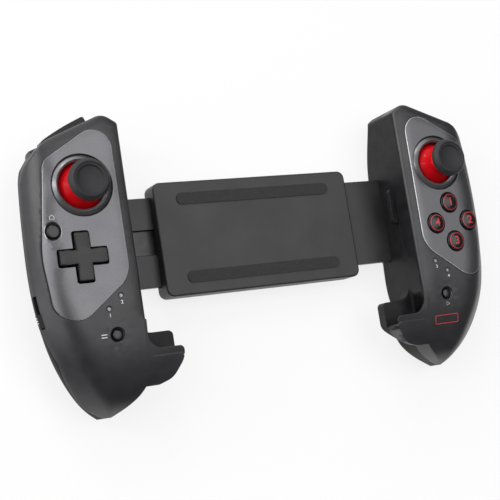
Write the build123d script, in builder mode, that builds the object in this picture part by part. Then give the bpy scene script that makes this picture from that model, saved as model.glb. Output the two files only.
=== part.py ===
import os
from math import atan2, cos, radians, sin, sqrt, tan

from build123d import *

# A stretching gamepad. Two grips stand either side of a gap, joined by a telescopic bridge behind it.
# Lengths are in millimetres. It lies on its back: +Z is out of its front face, +Y up the grips, and
# the origin is on the rest plane, midway between the grips and midway up them.
# A place on a grip is given as "out", from its inner wall, and "up", from the tip of its handle.

# Driving dimensions
height = 141.5  # of a grip, tip to top
grip_width = 51.0  # inner wall to the outermost point
body_depth = 37.0  # rest plane to the front face
gap = 156.4  # between the inner walls, drawn out as in use
closed_gap = 112.6  # between the inner walls, pushed together
wall = 2.0
parting_height = 25.0  # where the front and rear shells meet
running_gap = 0.3  # between pieces that move past each other
seam = 0.15  # shadow line between the two shells
parting_tip = 12.0  # the parting line falls to this at the handle's tip
parting_bend_up = 28.0

half_gap = gap / 2
half_height = height / 2

# Shoulder of the grip: a short inner chamfer, then a long slope down to the rounded outer corner
shoulder_inner_up = height - 3.9
shoulder_peak_out = 7.2
shoulder_peak_up = height + 0.9
shoulder_outer_out = grip_width - 10.5
shoulder_outer_up = height - 12.5
shoulder_drop = shoulder_peak_up - shoulder_outer_up
shoulder_run = shoulder_outer_out - shoulder_peak_out
slope_angle = atan2(shoulder_drop, shoulder_run)
slope_length = sqrt(shoulder_drop**2 + shoulder_run**2)
corner_start_out = grip_width - 13.5  # the slope ends here
corner_start_up = shoulder_peak_up - (corner_start_out - shoulder_peak_out) * tan(slope_angle)
corner_end_out = grip_width - 4.7
corner_end_up = height - 22.0
shoulder_edge = 2.5  # radius of the front edge along the top

# Foot: the hook at the lower end of the inner wall
foot_reach = 17.7
foot_top_up = 29.0
channel_floor_up = 25.4
rear_plate_top_up = 37.3
foot_rear = 17.0  # height of the rear plate's back above the rest plane
rear_plate_front = 23.0
lip_thickness = 3.0
foot_fillet = 7.0
foot_outline = [(-1.0, 10.9, 15.0), (-11.5, 14.4, 9.0), (-foot_reach, 23.0, 9.0)]  # out, up, radius
foot_profile = [  # from the side, front face last: up, height above the rest plane, radius
    (foot_top_up - 4.5, foot_rear, 6.0),
    (14.2, foot_rear + 10.3, 6.0),
    (10.8, 29.2, 1.0),
    (17.5, 32.1, 10.0),
    (28.0, 34.9, 30.0),
    (42.0, body_depth - 0.4, 30.0),
]
foot_low_up = 10.6
foot_flare_up = 16.0  # below this the root follows the handle's wall inwards
foot_flare = 2.5
foot_corner = 2.5
foot_root = 1.9  # how far the foot runs into the grip's wall

# Faceplate and the controls on it
plate_thickness = 1.2
plate_recess = 0.8
plate_fit = 0.12
plate_rise = plate_thickness - plate_recess
stick_out = 22.1
stick_up = height - 33.35
ring_radius = 14.7
ring_opening = 11.3
key_centre_out = 25.6
key_centre_up = height - 66.3
key_spacing = 10.6
key_radius = 5.25
key_travel = 1.3
key_gap = 0.35
key_proud = 2.1  # above the shell's front face
dpad_half = 11.4
dpad_arm = 6.9
pad_centre_out = 26.4
pad_centre_up = height - 66.9
dpad_gap = 0.75
dpad_crown = 2.2
dpad_corner = 0.8
dpad_pivot_height = 33.5
dpad_disc_radius = 10.5
dpad_disc_bottom = 32.2
ball_radius = 1.6
ball_play = 0.1
neck_radius = 0.9
neck_foot = 29.0
dpad_post_radius = 2.4
dpad_post_top = 31.2
stud_radius = 8.0
stud_bottom = 24.9
rim_angle = 100.0
home_out = 38.6
home_up = height - 54.0
home_radius = 3.1
home_bevel = 1.05
home_front = body_depth - 0.6  # of the curved faceplate here
home_lean = 14.0  # of its dish, square to the faceplate
home_ceiling = 30.7  # inner face of the shell over the button's flange
right_key_ceiling = 29.9
menu_out = 14.7  # select on the left grip, start on the right one
menu_up = 37.3
menu_front = body_depth - 1.1  # the shell's front face has begun to fall away here
menu_slack = 0.5  # lets its flange clear the falling inner face of the shell
menu_radius = 2.4
menu_bevel = 1.2
small_travel = 0.8
small_gap = 0.25
flange_reach = 1.05
flange_thickness = 1.2
stem_share = 0.3  # of a button's radius
contact_radius = 2.2
lens_radius = 0.85
lens_ring = 1.45
lens_places = [(10.7, 55.2), (17.3, 49.5)]
lens_recess = 0.4

# Thumb stick
pivot_height = body_depth - 9.9
dome_radius = 13.0
dome_wall = 1.4
dome_skirt = 80.0  # degrees from the top of the dome to its rim
stick_click = 0.5
cap_radius = 9.9
cap_top = body_depth + 14.0
cap_bottom = cap_top - 6.0
cap_dish = 1.7
stem_radius = 4.0
stem_top = cap_top - 3.0
hub_radius = 2.8
hub_bottom = pivot_height + 5.4
ring_flange = 16.2
ring_top = body_depth + 0.9
shaft_radius = 1.6
shaft_foot = pivot_height - 4.1
shaft_top = pivot_height + 15.1
shaft_pin_radius = 0.7
housing_side = 12.4
housing_wall = 0.8
housing_top = pivot_height + 2.9
housing_mouth = 4.6
yoke_length = 7.2
yoke_width = 5.2
yoke_height = 2.0
yoke_pin_radius = 0.9
yoke_pin_reach = 5.9
bore_play = 0.05

# Circuit boards, rubber sheets and fasteners
board_bottom = 19.0
board_thickness = 1.6
board_inner = 9.5
board_outer = grip_width - 7.5
sheet_thickness = 0.8
contact_height = 3.2  # rubber contact above the board
post_radius = 2.8
post_step = 4.2
screw_radius = 1.0
screw_head = 2.1
screw_head_depth = 1.6
screw_length = 12.0
screw_seat = 14.0  # height of the face that the screw heads pull against
rear_post_radius = 3.8
screw_places = [
    (5.6, height - 20.5),
    (grip_width - 11.5, height - 44.5),
    (6.0, 49.0),
    (grip_width - 15.0, 52.0),
    (21.0, 15.0),
]
board_posts = (1, 3)  # which of those posts carry the circuit board

# Bridge
bridge_length = closed_gap - 2 * running_gap
bridge_height = 58.0
bridge_up = 83.0  # its middle, up the grip
bridge_bottom = 0.4
bridge_top = 13.0
cover_skin = 1.4
cover_side = 2.0
arm_width = 45.4
arm_thickness = 4.4
arm_engagement = 106.2  # length of an arm outside its grip
arm_root = 14.0
rail_thickness = 1.2
pad_thickness = 0.6
pad_width = 6.0
pad_length = 88.0
spring_radius = 1.3
spring_offset = 16.0
cable_width = 12.0
cable_thickness = 0.12
cable_out = 10.5  # where it meets the circuit boards
rear_lane = 2.2  # heights where the lanes of the left and right arms start
front_lane = 7.0
rear_cable = 4.4
front_cable = 9.2
spring_channel = 3.0
spring_wire = 0.6
spring_root = 6.0
slot_end = 50.0  # from the inner wall
blade_x = 4.0
blade_thickness = 2.0
blade_width = 1.6
pad_spacing = 40.0
boss_radius = 2.4
boss_x = 48.0
boss_y = 26.2
bridge_corner = 4.0
cover_edge = 1.0
bridge_screw_radius = 0.9
bridge_screw_head = 1.6
bridge_screw_head_depth = 1.2
bridge_screw_seat = 2.0
bridge_screw_top = 12.0

# Shoulder controls, in the frame of the slope: "along" it from its peak and "off" it outwards
bumper_start = 6.0
bumper_length = 24.2
bumper_inner_proud = 3.5  # its face is an arc, from the end near the peak
bumper_middle_proud = 2.9
bumper_outer_proud = 1.2
bumper_low = 18.6
bumper_high = 28.2
bumper_root = 3.2
bumper_lip = 1.2
rib_count = 26
rib_depth = 0.35
bumper_end_margin = 1.8  # without ribs
bumper_pivot = (2.5, -4.6)  # along and off
eye_radius = 2.2
trigger_start = 5.0
trigger_end = 34.0
trigger_gap = 0.4
trigger_bay = 15.0  # how far the opening for the trigger runs in from the slope
trigger_top = 16.5
trigger_skin = 2.2
trigger_cheek = 1.6
trigger_pivot_off = -3.6
trigger_pivot_height = 13.6
cheek_thickness = 3.3
cheek_depth = 20.0
pin_radius = 1.0

# Slide switch on the left grip, charging socket on the right one
switch_out = grip_width - 2.7
switch_up = 52.1
switch_low = parting_height
switch_high = switch_low + 2.7
switch_slot = 15.4
switch_travel = 8.0
switch_direction = (0.165, 0.986, 0)
knob_length = 6.6
knob_proud = 0.7
knob_root = wall + 1.4
switch_body_length = 17.0
switch_body_width = 4.0
switch_body_top = switch_high - 0.8
socket_width = 7.8
socket_height = 2.8
socket_length = 6.0
socket_sink = 1.6
battery_out = 24.0
battery_up = 82.0
battery_width = 17.5
battery_length = 44.0
battery_thickness = 6.0

# Phone-retaining tab on the inner wall
tab_up = 88.4
tab_length = 19.0
tab_reach = 3.4
tab_low = 21.9
tab_high = 24.7

os.makedirs("parts", exist_ok=True)

board_top = board_bottom + board_thickness
contact_top = board_top + contact_height
plate_front = body_depth - plate_recess + plate_thickness
inside_front = body_depth - wall
dome_crown = pivot_height + dome_radius
lip_back = body_depth - lip_thickness
screw_seat_depth = board_bottom - screw_seat
near_cheek = trigger_start - trigger_gap - cheek_thickness / 2
far_cheek = trigger_end + trigger_gap + cheek_thickness / 2
cheek_off = 1.0 - cheek_depth / 2
bumper_pin_foot = trigger_top + 0.2
bumper_pin_top = bumper_high + 3.0
trigger_pin_start = 1.6
arm_low = 2.0
arm_high = 11.4
tab_shoulder = 1.2


def keep(piece, node):
    """Label a finished piece and write it out."""
    piece.part.label = node
    export_step(piece.part, f"parts/{node}.step")


def mirrored(piece):
    """The left-hand twin of a right-hand piece."""
    with BuildPart() as twin:
        mirror(piece.part, about=Plane.YZ)
    return twin


def face_plane(z):
    """A plane across the front of the right grip: x is out, y is up."""
    return Plane(origin=(half_gap, -half_height, z))


def side_plane(out):
    """A plane seen from the right: x is up the grip, y is height above the rest plane."""
    return Plane(origin=(half_gap + out, -half_height, 0), x_dir=(0, 1, 0), z_dir=(1, 0, 0))


def slope_point(along, off):
    """A place given along and off the shoulder slope, as out and up."""
    return (
        shoulder_peak_out + along * cos(slope_angle) + off * sin(slope_angle),
        shoulder_peak_up - along * sin(slope_angle) + off * cos(slope_angle),
    )


def slope_plane(z):
    """A plane across the front, turned to the shoulder: x is along the slope, y is off it."""
    return Plane(
        origin=(half_gap + shoulder_peak_out, shoulder_peak_up - half_height, z),
        x_dir=(cos(slope_angle), -sin(slope_angle), 0),
    )


def slope_section(along):
    """A plane square to the slope: x is off the slope, y is height above the rest plane."""
    out, up = slope_point(along, 0)
    return Plane(
        origin=(half_gap + out, up - half_height, 0),
        x_dir=(sin(slope_angle), cos(slope_angle), 0),
        z_dir=(cos(slope_angle), -sin(slope_angle), 0),
    )


# The grip's outer form, as sections from the handle's tip to its top:
# up, inner side, drop of the outer side from the widest, widest height, drop of the front, rear,
# and how far the front's outer corner stands in from the outer side
grip_sections = [
    (0.4, 16.2, grip_width - 21.6, 8.5, body_depth - 15.3, 7.0, 4.0),
    (3.5, 11.5, grip_width - 26.4, 11.5, body_depth - 22.5, 6.0, 7.5),
    (9.0, 4.5, grip_width - 32.6, 15.0, body_depth - 28.2, 4.6, 10.5),
    (17.0, 0.0, grip_width - 38.4, 19.0, body_depth - 32.0, 1.6, 12.5),
    (28.0, 0.0, grip_width - 43.8, 22.5, body_depth - 34.9, -0.1, 12.5),
    (42.0, 0.0, grip_width - 48.0, parting_height, body_depth - 36.7, -0.4, 12.0),
    (60.0, 0.0, grip_width - 50.4, parting_height, -0.3, -0.4, 10.0),
    (height - 56.5, 0.0, 0.3, parting_height, -0.3, -0.4, 7.5),
    (height - 29.0, 0.0, 1.5, parting_height, -0.3, 0.0, 6.8),
    (height - 13.5, 0.0, 3.0, parting_height, -0.3, 4.6, 7.0),
    (height + 3.0, 0.0, 5.0, parting_height, -0.3, 9.5, 7.0),
]
rear_taper = 13.0
corner_radii = (4.0, 9.0, 7.0, 14.0, 1.0)  # from the inner rear corner round to the inner front
full_section = 46.0
solid_tip = 2  # sections at the tip that the hollow leaves out


def grip_section(place, inset):
    """One section of the grip, square to its length."""
    up, inner, outer_drop, widest, front_drop, rear, front_taper = place
    inner += inset
    outer = grip_width - outer_drop - inset
    front = body_depth - front_drop - inset
    rear += inset
    share = min(1.0, (outer - inner) / full_section)
    corners = [
        (inner, rear),
        (outer - rear_taper * share, rear),
        (outer, widest),
        (outer - front_taper, front),
        (inner, front),
    ]
    radii = [max(0.4, radius * share - inset) for radius in corner_radii]
    plane = Plane(
        origin=(half_gap, up - half_height, 0), x_dir=(1, 0, 0), z_dir=(0, -1, 0)
    )
    with BuildSketch(plane) as section:
        with BuildLine():
            FilletPolyline(*corners, radius=radii, close=True)
        make_face()
    return section.sketch


def shoulder_block(inset):
    """A block with the outline of the shoulder, wider than the grip below it."""
    with BuildPart() as block:
        with BuildSketch(face_plane(inset)):
            with BuildLine():
                FilletPolyline(
                    (0, -height),
                    (0, shoulder_inner_up),
                    (shoulder_peak_out, shoulder_peak_up),
                    (corner_start_out, corner_start_up),
                    (corner_end_out, corner_end_up),
                    (grip_width, height - 37.0),
                    (2 * grip_width, height - 60.0),
                    (2 * grip_width, -height),
                    radius=[2.5, 7.0, 10.0, 10.0, 9.0, 5.0],
                )
                Line((2 * grip_width, -height), (0, -height))
            make_face()
            if inset:
                offset(amount=-inset, kind=Kind.INTERSECTION)
        extrude(amount=body_depth - 2 * inset)
        if not inset:
            top_edges = block.faces().sort_by(Axis.Z)[-1].edges()
            low_end = shoulder_inner_up - half_height - 10.0
            fillet(top_edges.filter_by(lambda e: e.center().Y > low_end), shoulder_edge)
    return block.part


def grip_form(inset):
    """The grip as one solid block, its walls moved in by inset."""
    with BuildPart() as form:
        for place in grip_sections[solid_tip:] if inset else grip_sections:
            add(grip_section(place, inset))
        loft()
        add(shoulder_block(inset), mode=Mode.INTERSECT)
    return form


def above_parting(drop):
    """The space in front of the line where the shells meet, its edge lowered by drop."""
    with BuildPart() as region:
        with BuildSketch(side_plane(-2 * foot_reach)):
            with BuildLine():
                Polyline(
                    (-height, parting_tip - drop),
                    (0, parting_tip - drop),
                    (parting_bend_up, parting_height - drop),
                    (2 * height, parting_height - drop),
                    (2 * height, 2 * body_depth),
                    (-height, 2 * body_depth),
                    close=True,
                )
            make_face()
        extrude(amount=3 * grip_width)
    return region


def foot_slab(low, high, top, wall_fillet, root):
    """A slab of the foot between two heights, run into the grip by root."""
    with BuildPart() as slab:
        with BuildSketch(face_plane(low)):
            with BuildLine():
                FilletPolyline(
                    (root + foot_flare, foot_low_up),
                    *[(out, up) for out, up, radius in foot_outline],
                    (-foot_reach, height),
                    radius=[radius for out, up, radius in foot_outline],
                )
                Polyline(
                    (-foot_reach, height),
                    (root, height),
                    (root, foot_flare_up),
                    (root + foot_flare, foot_low_up),
                )
            make_face()
            with BuildLine():
                FilletPolyline(
                    (-foot_reach, 0),
                    (-foot_reach, top),
                    (0, top),
                    (0, top + 2 * wall_fillet),
                    radius=[foot_corner, wall_fillet],
                )
                Polyline(
                    (0, top + 2 * wall_fillet),
                    (wall, top + 2 * wall_fillet),
                    (wall, 0),
                    (-foot_reach, 0),
                )
            make_face(mode=Mode.INTERSECT)
        extrude(amount=high - low)
        with BuildSketch(side_plane(-2 * foot_reach)):
            with BuildLine():
                FilletPolyline(
                    (height, foot_rear),
                    *[(up, z) for up, z, radius in foot_profile],
                    (height, body_depth),
                    radius=[radius for up, z, radius in foot_profile],
                )
                Line((height, body_depth), (height, foot_rear))
            make_face()
        extrude(amount=3 * foot_reach, mode=Mode.INTERSECT)
    return slab


outer_form = grip_form(0)
inner_form = grip_form(wall)
front_half = above_parting(0)
rear_half_cut = above_parting(seam)

# Outline shared by the faceplate and the recess it sits in
with BuildSketch() as plate_outline:
    with BuildLine():
        FilletPolyline(
            (5.4, height - 0.3),
            (grip_width - 11.6, height - 21.0),
            (grip_width - 6.3, 76.5),
            (grip_width - 10.2, 36.7),
            (5.0, 63.8),
            radius=[9.0, 7.0, 60.0, 10.5, 14.0],
            close=True,
        )
    make_face()


def front_layer(low, high, margin):
    """What lies between two offsets of the front face, within the faceplate's outline."""
    with BuildPart() as layer:
        with BuildSketch(face_plane(parting_height)):
            add(plate_outline.sketch)
            if margin:
                offset(amount=margin)
        extrude(amount=body_depth)
        if high:
            add(Pos(0, 0, high) * outer_form.part, mode=Mode.INTERSECT)
        add(Pos(0, 0, low) * outer_form.part, mode=Mode.SUBTRACT)
    return layer


plate_space = front_layer(-plate_recess, 0, plate_fit)
plate_blank = front_layer(-plate_recess, plate_rise, 0)


def cross(half, arm, corner):
    """The outline of the direction pad."""
    with BuildSketch() as outline:
        Rectangle(2 * half, arm)
        Rectangle(arm, 2 * half)
        tips = outline.vertices().filter_by(lambda v: max(abs(v.X), abs(v.Y)) > half - 0.1)
        fillet(tips, corner)
    return outline.sketch


# Front shell, before the openings that differ between the grips
with BuildPart() as front_posts:
    with BuildSketch(face_plane(board_bottom)):
        with Locations(*screw_places):
            Circle(post_radius)
    extrude(amount=inside_front - board_bottom + wall / 2)
    with BuildSketch(face_plane(board_top)):
        with Locations(*[screw_places[n] for n in board_posts]):
            Circle(post_step)
    extrude(amount=inside_front - board_top + wall / 2)
    with BuildSketch(face_plane(bumper_high + 0.4)):
        with Locations(slope_point(*bumper_pivot)):
            Circle(eye_radius + 0.4)
    extrude(amount=inside_front - bumper_high)
    add(outer_form.part, mode=Mode.INTERSECT)

foot_front = foot_slab(rear_plate_front + seam, lip_back, channel_floor_up, 2.0, -seam)
foot_root_piece = foot_slab(parting_height, lip_back, channel_floor_up, 2.0, foot_root)
foot_lip = foot_slab(lip_back, body_depth, foot_top_up, foot_fillet, foot_root)
foot_plate = foot_slab(foot_rear, rear_plate_front, rear_plate_top_up, foot_fillet, foot_root)

with BuildPart() as front_blank:
    add(outer_form.part)
    add(front_half.part, mode=Mode.INTERSECT)
    add(inner_form.part, mode=Mode.SUBTRACT)
    add([front_posts.part, foot_front.part, foot_root_piece.part, foot_lip.part])
    add(plate_space.part, mode=Mode.SUBTRACT)
    with BuildSketch(face_plane(board_bottom)):
        with Locations((stick_out, stick_up)):
            Circle(ring_flange + running_gap)
    extrude(amount=inside_front - board_bottom, mode=Mode.SUBTRACT)
    with BuildSketch(face_plane(board_bottom)):
        with Locations((stick_out, stick_up)):
            Circle(ring_radius + running_gap)
        with Locations(*lens_places):
            Circle(lens_radius + seam)
    extrude(amount=body_depth, mode=Mode.SUBTRACT)
    with BuildSketch(face_plane(body_depth - lens_recess)):
        with Locations(*lens_places):
            Circle(lens_ring)
    extrude(amount=wall, mode=Mode.SUBTRACT)
    with BuildSketch(face_plane(board_bottom)):
        with Locations(*screw_places):
            Circle(screw_radius)
    extrude(amount=screw_length - screw_seat_depth + 1.0, mode=Mode.SUBTRACT)
    with BuildSketch(face_plane(bumper_high)):
        with Locations(slope_point(*bumper_pivot)):
            Circle(pin_radius + bore_play)
    extrude(amount=bumper_pin_top - bumper_high, mode=Mode.SUBTRACT)
    with BuildSketch(slope_plane(bumper_low - running_gap)):
        with Locations((bumper_start + bumper_length / 2 + 0.2, 0.5)):
            Rectangle(bumper_length + 1.2, 7.2)
    extrude(amount=bumper_high - bumper_low + 2 * running_gap, mode=Mode.SUBTRACT)

# Rear shell, before the openings that differ between the grips
with BuildPart() as rear_posts:
    with BuildSketch(face_plane(0)):
        with Locations(*screw_places):
            Circle(rear_post_radius)
    extrude(amount=board_bottom)
    with BuildSketch(slope_plane(0)):
        with Locations((near_cheek, cheek_off), (far_cheek, cheek_off)):
            Rectangle(cheek_thickness, cheek_depth)
    extrude(amount=trigger_top + 1.0)
    add(outer_form.part, mode=Mode.INTERSECT)
    add(rear_half_cut.part, mode=Mode.SUBTRACT)

with BuildPart() as front_wall_space:
    add(rear_half_cut.part)
    with BuildSketch(side_plane(-seam)):
        Rectangle(2 * parting_bend_up, 4 * body_depth)
    extrude(amount=grip_width, mode=Mode.INTERSECT)

with BuildPart() as rear_blank:
    add(outer_form.part)
    add(rear_half_cut.part, mode=Mode.SUBTRACT)
    add(inner_form.part, mode=Mode.SUBTRACT)
    with BuildSketch(slope_plane(-1.0)):
        with Locations(((trigger_start + trigger_end) / 2, (8.0 - trigger_bay) / 2)):
            Rectangle(trigger_end - trigger_start + 2 * trigger_gap, 8.0 + trigger_bay)
    extrude(amount=trigger_top + 1.4, mode=Mode.SUBTRACT)
    add([rear_posts.part, foot_plate.part])
    add(front_wall_space.part, mode=Mode.SUBTRACT)
    with BuildSketch(face_plane(-1.0)):
        with Locations(*screw_places):
            Circle(screw_head + running_gap)
    extrude(amount=screw_seat + 1.0, mode=Mode.SUBTRACT)
    with BuildSketch(face_plane(0)):
        with Locations(*screw_places):
            Circle(screw_radius + 0.1)
    extrude(amount=board_bottom, mode=Mode.SUBTRACT)
    with BuildSketch(slope_plane(bumper_low - running_gap)):
        with Locations((bumper_start + bumper_length / 2 + 0.2, 0.5)):
            Rectangle(bumper_length + 1.2, 7.2)
    extrude(amount=bumper_high - bumper_low, mode=Mode.SUBTRACT)
    with BuildSketch(face_plane(bumper_pin_foot)):
        with Locations(slope_point(*bumper_pivot)):
            Circle(pin_radius + bore_play)
    extrude(amount=bumper_low - bumper_pin_foot, mode=Mode.SUBTRACT)
    with BuildSketch(slope_section(trigger_pin_start)):
        with Locations((trigger_pivot_off, trigger_pivot_height)):
            Circle(pin_radius + bore_play)
    extrude(amount=slope_length, mode=Mode.SUBTRACT)
    with BuildSketch(side_plane(-0.1)):
        with Locations((bridge_up, (arm_low + arm_high) / 2)):
            Rectangle(arm_width + 2 * seam, arm_high - arm_low + 2 * seam)
        with Locations((tab_up, (tab_low + tab_high) / 2)):
            Rectangle(tab_length - 2 * tab_shoulder + 2 * seam, tab_high - tab_low + 2 * seam)
    extrude(amount=arm_root + 0.2, mode=Mode.SUBTRACT)


def at(out, up, z):
    """A place on the right grip."""
    return (half_gap + out, up - half_height, z)


def cut_front(openings, dishes):
    """The front shell of one grip with its own openings; a dish is out, up, front, hole and rim."""
    with BuildPart() as shell:
        add(front_blank.part)
        with BuildSketch(face_plane(parting_height)):
            add(openings)
        extrude(amount=body_depth, mode=Mode.SUBTRACT)
        for out, up, front, hole, rim in dishes:
            with Locations(at(out, up, front)):
                CounterSinkHole(hole, rim, 2 * wall, rim_angle)
    return shell


def cut_plate(openings):
    """A faceplate with its own openings."""
    with BuildPart() as plate:
        add(plate_blank.part)
        with BuildSketch(face_plane(parting_height)):
            add(openings)
            with Locations((stick_out, stick_up)):
                Circle(ring_radius + seam)
        extrude(amount=body_depth, mode=Mode.SUBTRACT)
    return plate


key_places = {
    "top": (key_centre_out, key_centre_up + key_spacing),
    "right": (key_centre_out + key_spacing, key_centre_up),
    "bottom": (key_centre_out, key_centre_up - key_spacing),
    "left": (key_centre_out - key_spacing, key_centre_up),
}
menu_dish = (menu_out, menu_up, menu_front, menu_radius + small_gap, menu_radius + menu_bevel)
home_hole = (home_out, home_up, home_front, home_radius + small_gap, home_radius + 0.6)

# Shells and faceplates
with BuildSketch() as key_holes:
    with Locations(*key_places.values()):
        Circle(key_radius + key_gap)
right_front_shell = cut_front(key_holes.sketch, [menu_dish])
right_faceplate = cut_plate(key_holes.sketch)

with BuildSketch() as cross_hole:
    with Locations((pad_centre_out, pad_centre_up)):
        add(cross(dpad_half + dpad_gap, dpad_arm + 2 * dpad_gap, dpad_corner))
left_plate_right_hand = cut_plate(cross_hole.sketch)
with BuildPart() as left_plate_dished:
    add(left_plate_right_hand.part)
    with BuildSketch(face_plane(parting_height)):
        with Locations((home_out, home_up)):
            Circle(home_radius + small_gap)
    extrude(amount=body_depth, mode=Mode.SUBTRACT)
    with Locations(Pos(*at(home_out, home_up, home_front + plate_rise)) * Rot(0, home_lean, 0)):
        Cone(
            home_radius,
            home_radius + 2 * home_bevel,
            2 * home_bevel,
            mode=Mode.SUBTRACT,
        )
left_faceplate = mirrored(left_plate_dished)

switch_plane = Plane(
    origin=at(switch_out, switch_up, switch_low), x_dir=switch_direction, z_dir=(0, 0, 1)
)
with BuildPart() as left_front_right_hand:
    add(cut_front(cross_hole.sketch, [menu_dish, home_hole]).part)
    with BuildSketch(switch_plane):
        Rectangle(switch_slot, 4 * wall)
    extrude(amount=switch_high - switch_low, mode=Mode.SUBTRACT)
left_front_shell = mirrored(left_front_right_hand)
left_rear_shell = mirrored(rear_blank)

socket_plane = Plane(
    origin=at(switch_out, switch_up, board_top), x_dir=switch_direction, z_dir=(0, 0, 1)
)
with BuildPart() as right_rear_shell:
    add(rear_blank.part)
    with BuildSketch(socket_plane):
        Rectangle(socket_width + 2 * running_gap, 4 * wall)
    extrude(amount=socket_height + running_gap, mode=Mode.SUBTRACT)

keep(right_front_shell, "right_front_shell")
keep(right_rear_shell, "right_rear_shell")
keep(right_faceplate, "right_faceplate")
keep(left_front_shell, "left_front_shell")
keep(left_rear_shell, "left_rear_shell")
keep(left_faceplate, "left_faceplate")


def keep_pair(right, node):
    """Write out a right-hand piece and its left-hand twin."""
    keep(right, f"right_{node}")
    keep(mirrored(right), f"left_{node}")


# Thumb sticks: a ring in the shell, a housing on the board, and a yoke and shaft that cross in it
stick_plane = Plane(origin=at(stick_out, stick_up, 0), x_dir=(1, 0, 0), z_dir=(0, -1, 0))
stick_axis = Axis(at(stick_out, stick_up, 0), (0, 0, 1))


def stick_level(z):
    """A plane across the stick, centred on it."""
    return Plane(origin=at(stick_out, stick_up, z))


with BuildPart() as stick_ring:
    with BuildSketch(stick_plane):
        with BuildLine():
            Polyline(
                (ring_opening, body_depth - 1.2),
                (ring_opening, inside_front - 0.8),
                (ring_opening + 0.9, inside_front - 1.3),
                (ring_flange, inside_front - 1.3),
                (ring_flange, inside_front - bore_play),
                (ring_radius, inside_front - bore_play),
                (ring_radius, ring_top - 0.5),
                (ring_radius - 0.5, ring_top),
                (ring_radius - 0.9, ring_top),
                (ring_opening + 1.0, body_depth - 0.8),
                (ring_opening + 0.8, body_depth - 1.2),
                close=True,
            )
        make_face()
    revolve(axis=stick_axis)
keep_pair(stick_ring, "stick_ring")

with BuildPart() as stick_housing:
    with BuildSketch(stick_level(board_top)):
        RectangleRounded(housing_side, housing_side, 0.8)
    extrude(amount=housing_top - board_top)
    with BuildSketch(stick_level(board_top)):
        Rectangle(housing_side - 2 * housing_wall, housing_side - 2 * housing_wall)
    extrude(amount=housing_top - housing_wall - board_top, mode=Mode.SUBTRACT)
    with BuildSketch(stick_level(pivot_height)):
        Circle(housing_mouth)
    extrude(amount=dome_radius, mode=Mode.SUBTRACT)
    with BuildSketch(side_plane(0)):
        with Locations((stick_up, pivot_height)):
            Circle(yoke_pin_radius + bore_play)
    extrude(amount=grip_width, mode=Mode.SUBTRACT)
keep_pair(stick_housing, "stick_housing")

with BuildPart() as stick_yoke:
    with BuildSketch(stick_level(pivot_height - yoke_height / 2)):
        RectangleRounded(yoke_length, yoke_width, 0.4)
    extrude(amount=yoke_height)
    with BuildSketch(side_plane(stick_out - yoke_pin_reach)):
        with Locations((stick_up, pivot_height)):
            Circle(yoke_pin_radius)
    extrude(amount=2 * yoke_pin_reach)
    with BuildSketch(stick_level(pivot_height - yoke_height)):
        Rectangle(2 * shaft_radius + 1.4, 2 * shaft_radius + 0.5)
    extrude(amount=2 * yoke_height, mode=Mode.SUBTRACT)
    with BuildSketch(stick_plane.offset(-yoke_width)):
        with Locations((0, pivot_height)):
            Circle(shaft_pin_radius + bore_play)
    extrude(amount=2 * yoke_width, mode=Mode.SUBTRACT)
keep_pair(stick_yoke, "stick_yoke")

with BuildPart() as stick_shaft:
    with BuildSketch(stick_level(shaft_foot)):
        Circle(shaft_radius)
    extrude(amount=shaft_top - shaft_foot)
    chamfer(stick_shaft.edges().filter_by(GeomType.CIRCLE), 0.3)
    with BuildSketch(stick_plane.offset(-yoke_width / 2 + 0.1)):
        with Locations((0, pivot_height)):
            Circle(shaft_pin_radius)
    extrude(amount=yoke_width - 0.2)
keep_pair(stick_shaft, "stick_shaft")

with BuildPart() as stick_dome:
    with BuildSketch(stick_plane):
        with BuildLine():
            rim = CenterArc((0, pivot_height), dome_radius, 90 - dome_skirt, dome_skirt)
            under = CenterArc((0, pivot_height), dome_radius - dome_wall, 90 - dome_skirt, dome_skirt)
            Line(rim @ 0, under @ 0)
            Line(rim @ 1, under @ 1)
        make_face()
        with Locations((0, hub_bottom)):
            Rectangle(hub_radius, dome_crown - hub_bottom, align=(Align.MIN, Align.MIN))
        with Locations((0, dome_crown - dome_wall)):
            Rectangle(stem_radius, stem_top - dome_crown + dome_wall, align=(Align.MIN, Align.MIN))
    revolve(axis=stick_axis)
    with BuildSketch(stick_level(hub_bottom)):
        Circle(shaft_radius + running_gap / 2)
    extrude(amount=shaft_top + stick_click + 0.4 - hub_bottom, mode=Mode.SUBTRACT)
keep_pair(stick_dome, "stick_dome")

with BuildPart() as stick_cap:
    with BuildSketch(stick_plane):
        with BuildLine():
            FilletPolyline(
                (0, stem_top + bore_play),
                (stem_radius + bore_play, stem_top + bore_play),
                (stem_radius + bore_play, cap_bottom),
                (cap_radius - 3.1, cap_bottom),
                (cap_radius, cap_bottom + 2.3),
                (cap_radius, cap_top - 1.0),
                (cap_radius - 1.3, cap_top),
                (cap_radius - 2.6, cap_top - 0.1),
                (cap_radius - 3.4, cap_top - 1.3),
                (0, cap_top - cap_dish),
                radius=[0.05, 0.05, 1.0, 1.2, 0.8, 0.8, 0.6, 0.6],
            )
            Line((0, cap_top - cap_dish), (0, stem_top + bore_play))
        make_face()
    revolve(axis=stick_axis)
keep_pair(stick_cap, "stick_cap")


# Buttons
def press_button(place, radius, ceiling, top, travel, edge):
    """A round button with the flange that holds it in and the stem that presses its contact."""
    flange_bottom = ceiling - running_gap - flange_thickness
    with BuildPart() as button:
        with BuildSketch(face_plane(flange_bottom)):
            with Locations(place):
                Circle(radius + flange_reach)
        extrude(amount=flange_thickness)
        with BuildSketch(face_plane(flange_bottom)):
            with Locations(place):
                Circle(radius)
        extrude(amount=top - flange_bottom)
        fillet(button.faces().sort_by(Axis.Z)[-1].edges(), edge)
        with BuildSketch(face_plane(contact_top + travel + running_gap)):
            with Locations(place):
                Circle(stem_share * radius)
        extrude(amount=flange_bottom - contact_top - travel - running_gap)
    return button


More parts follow.
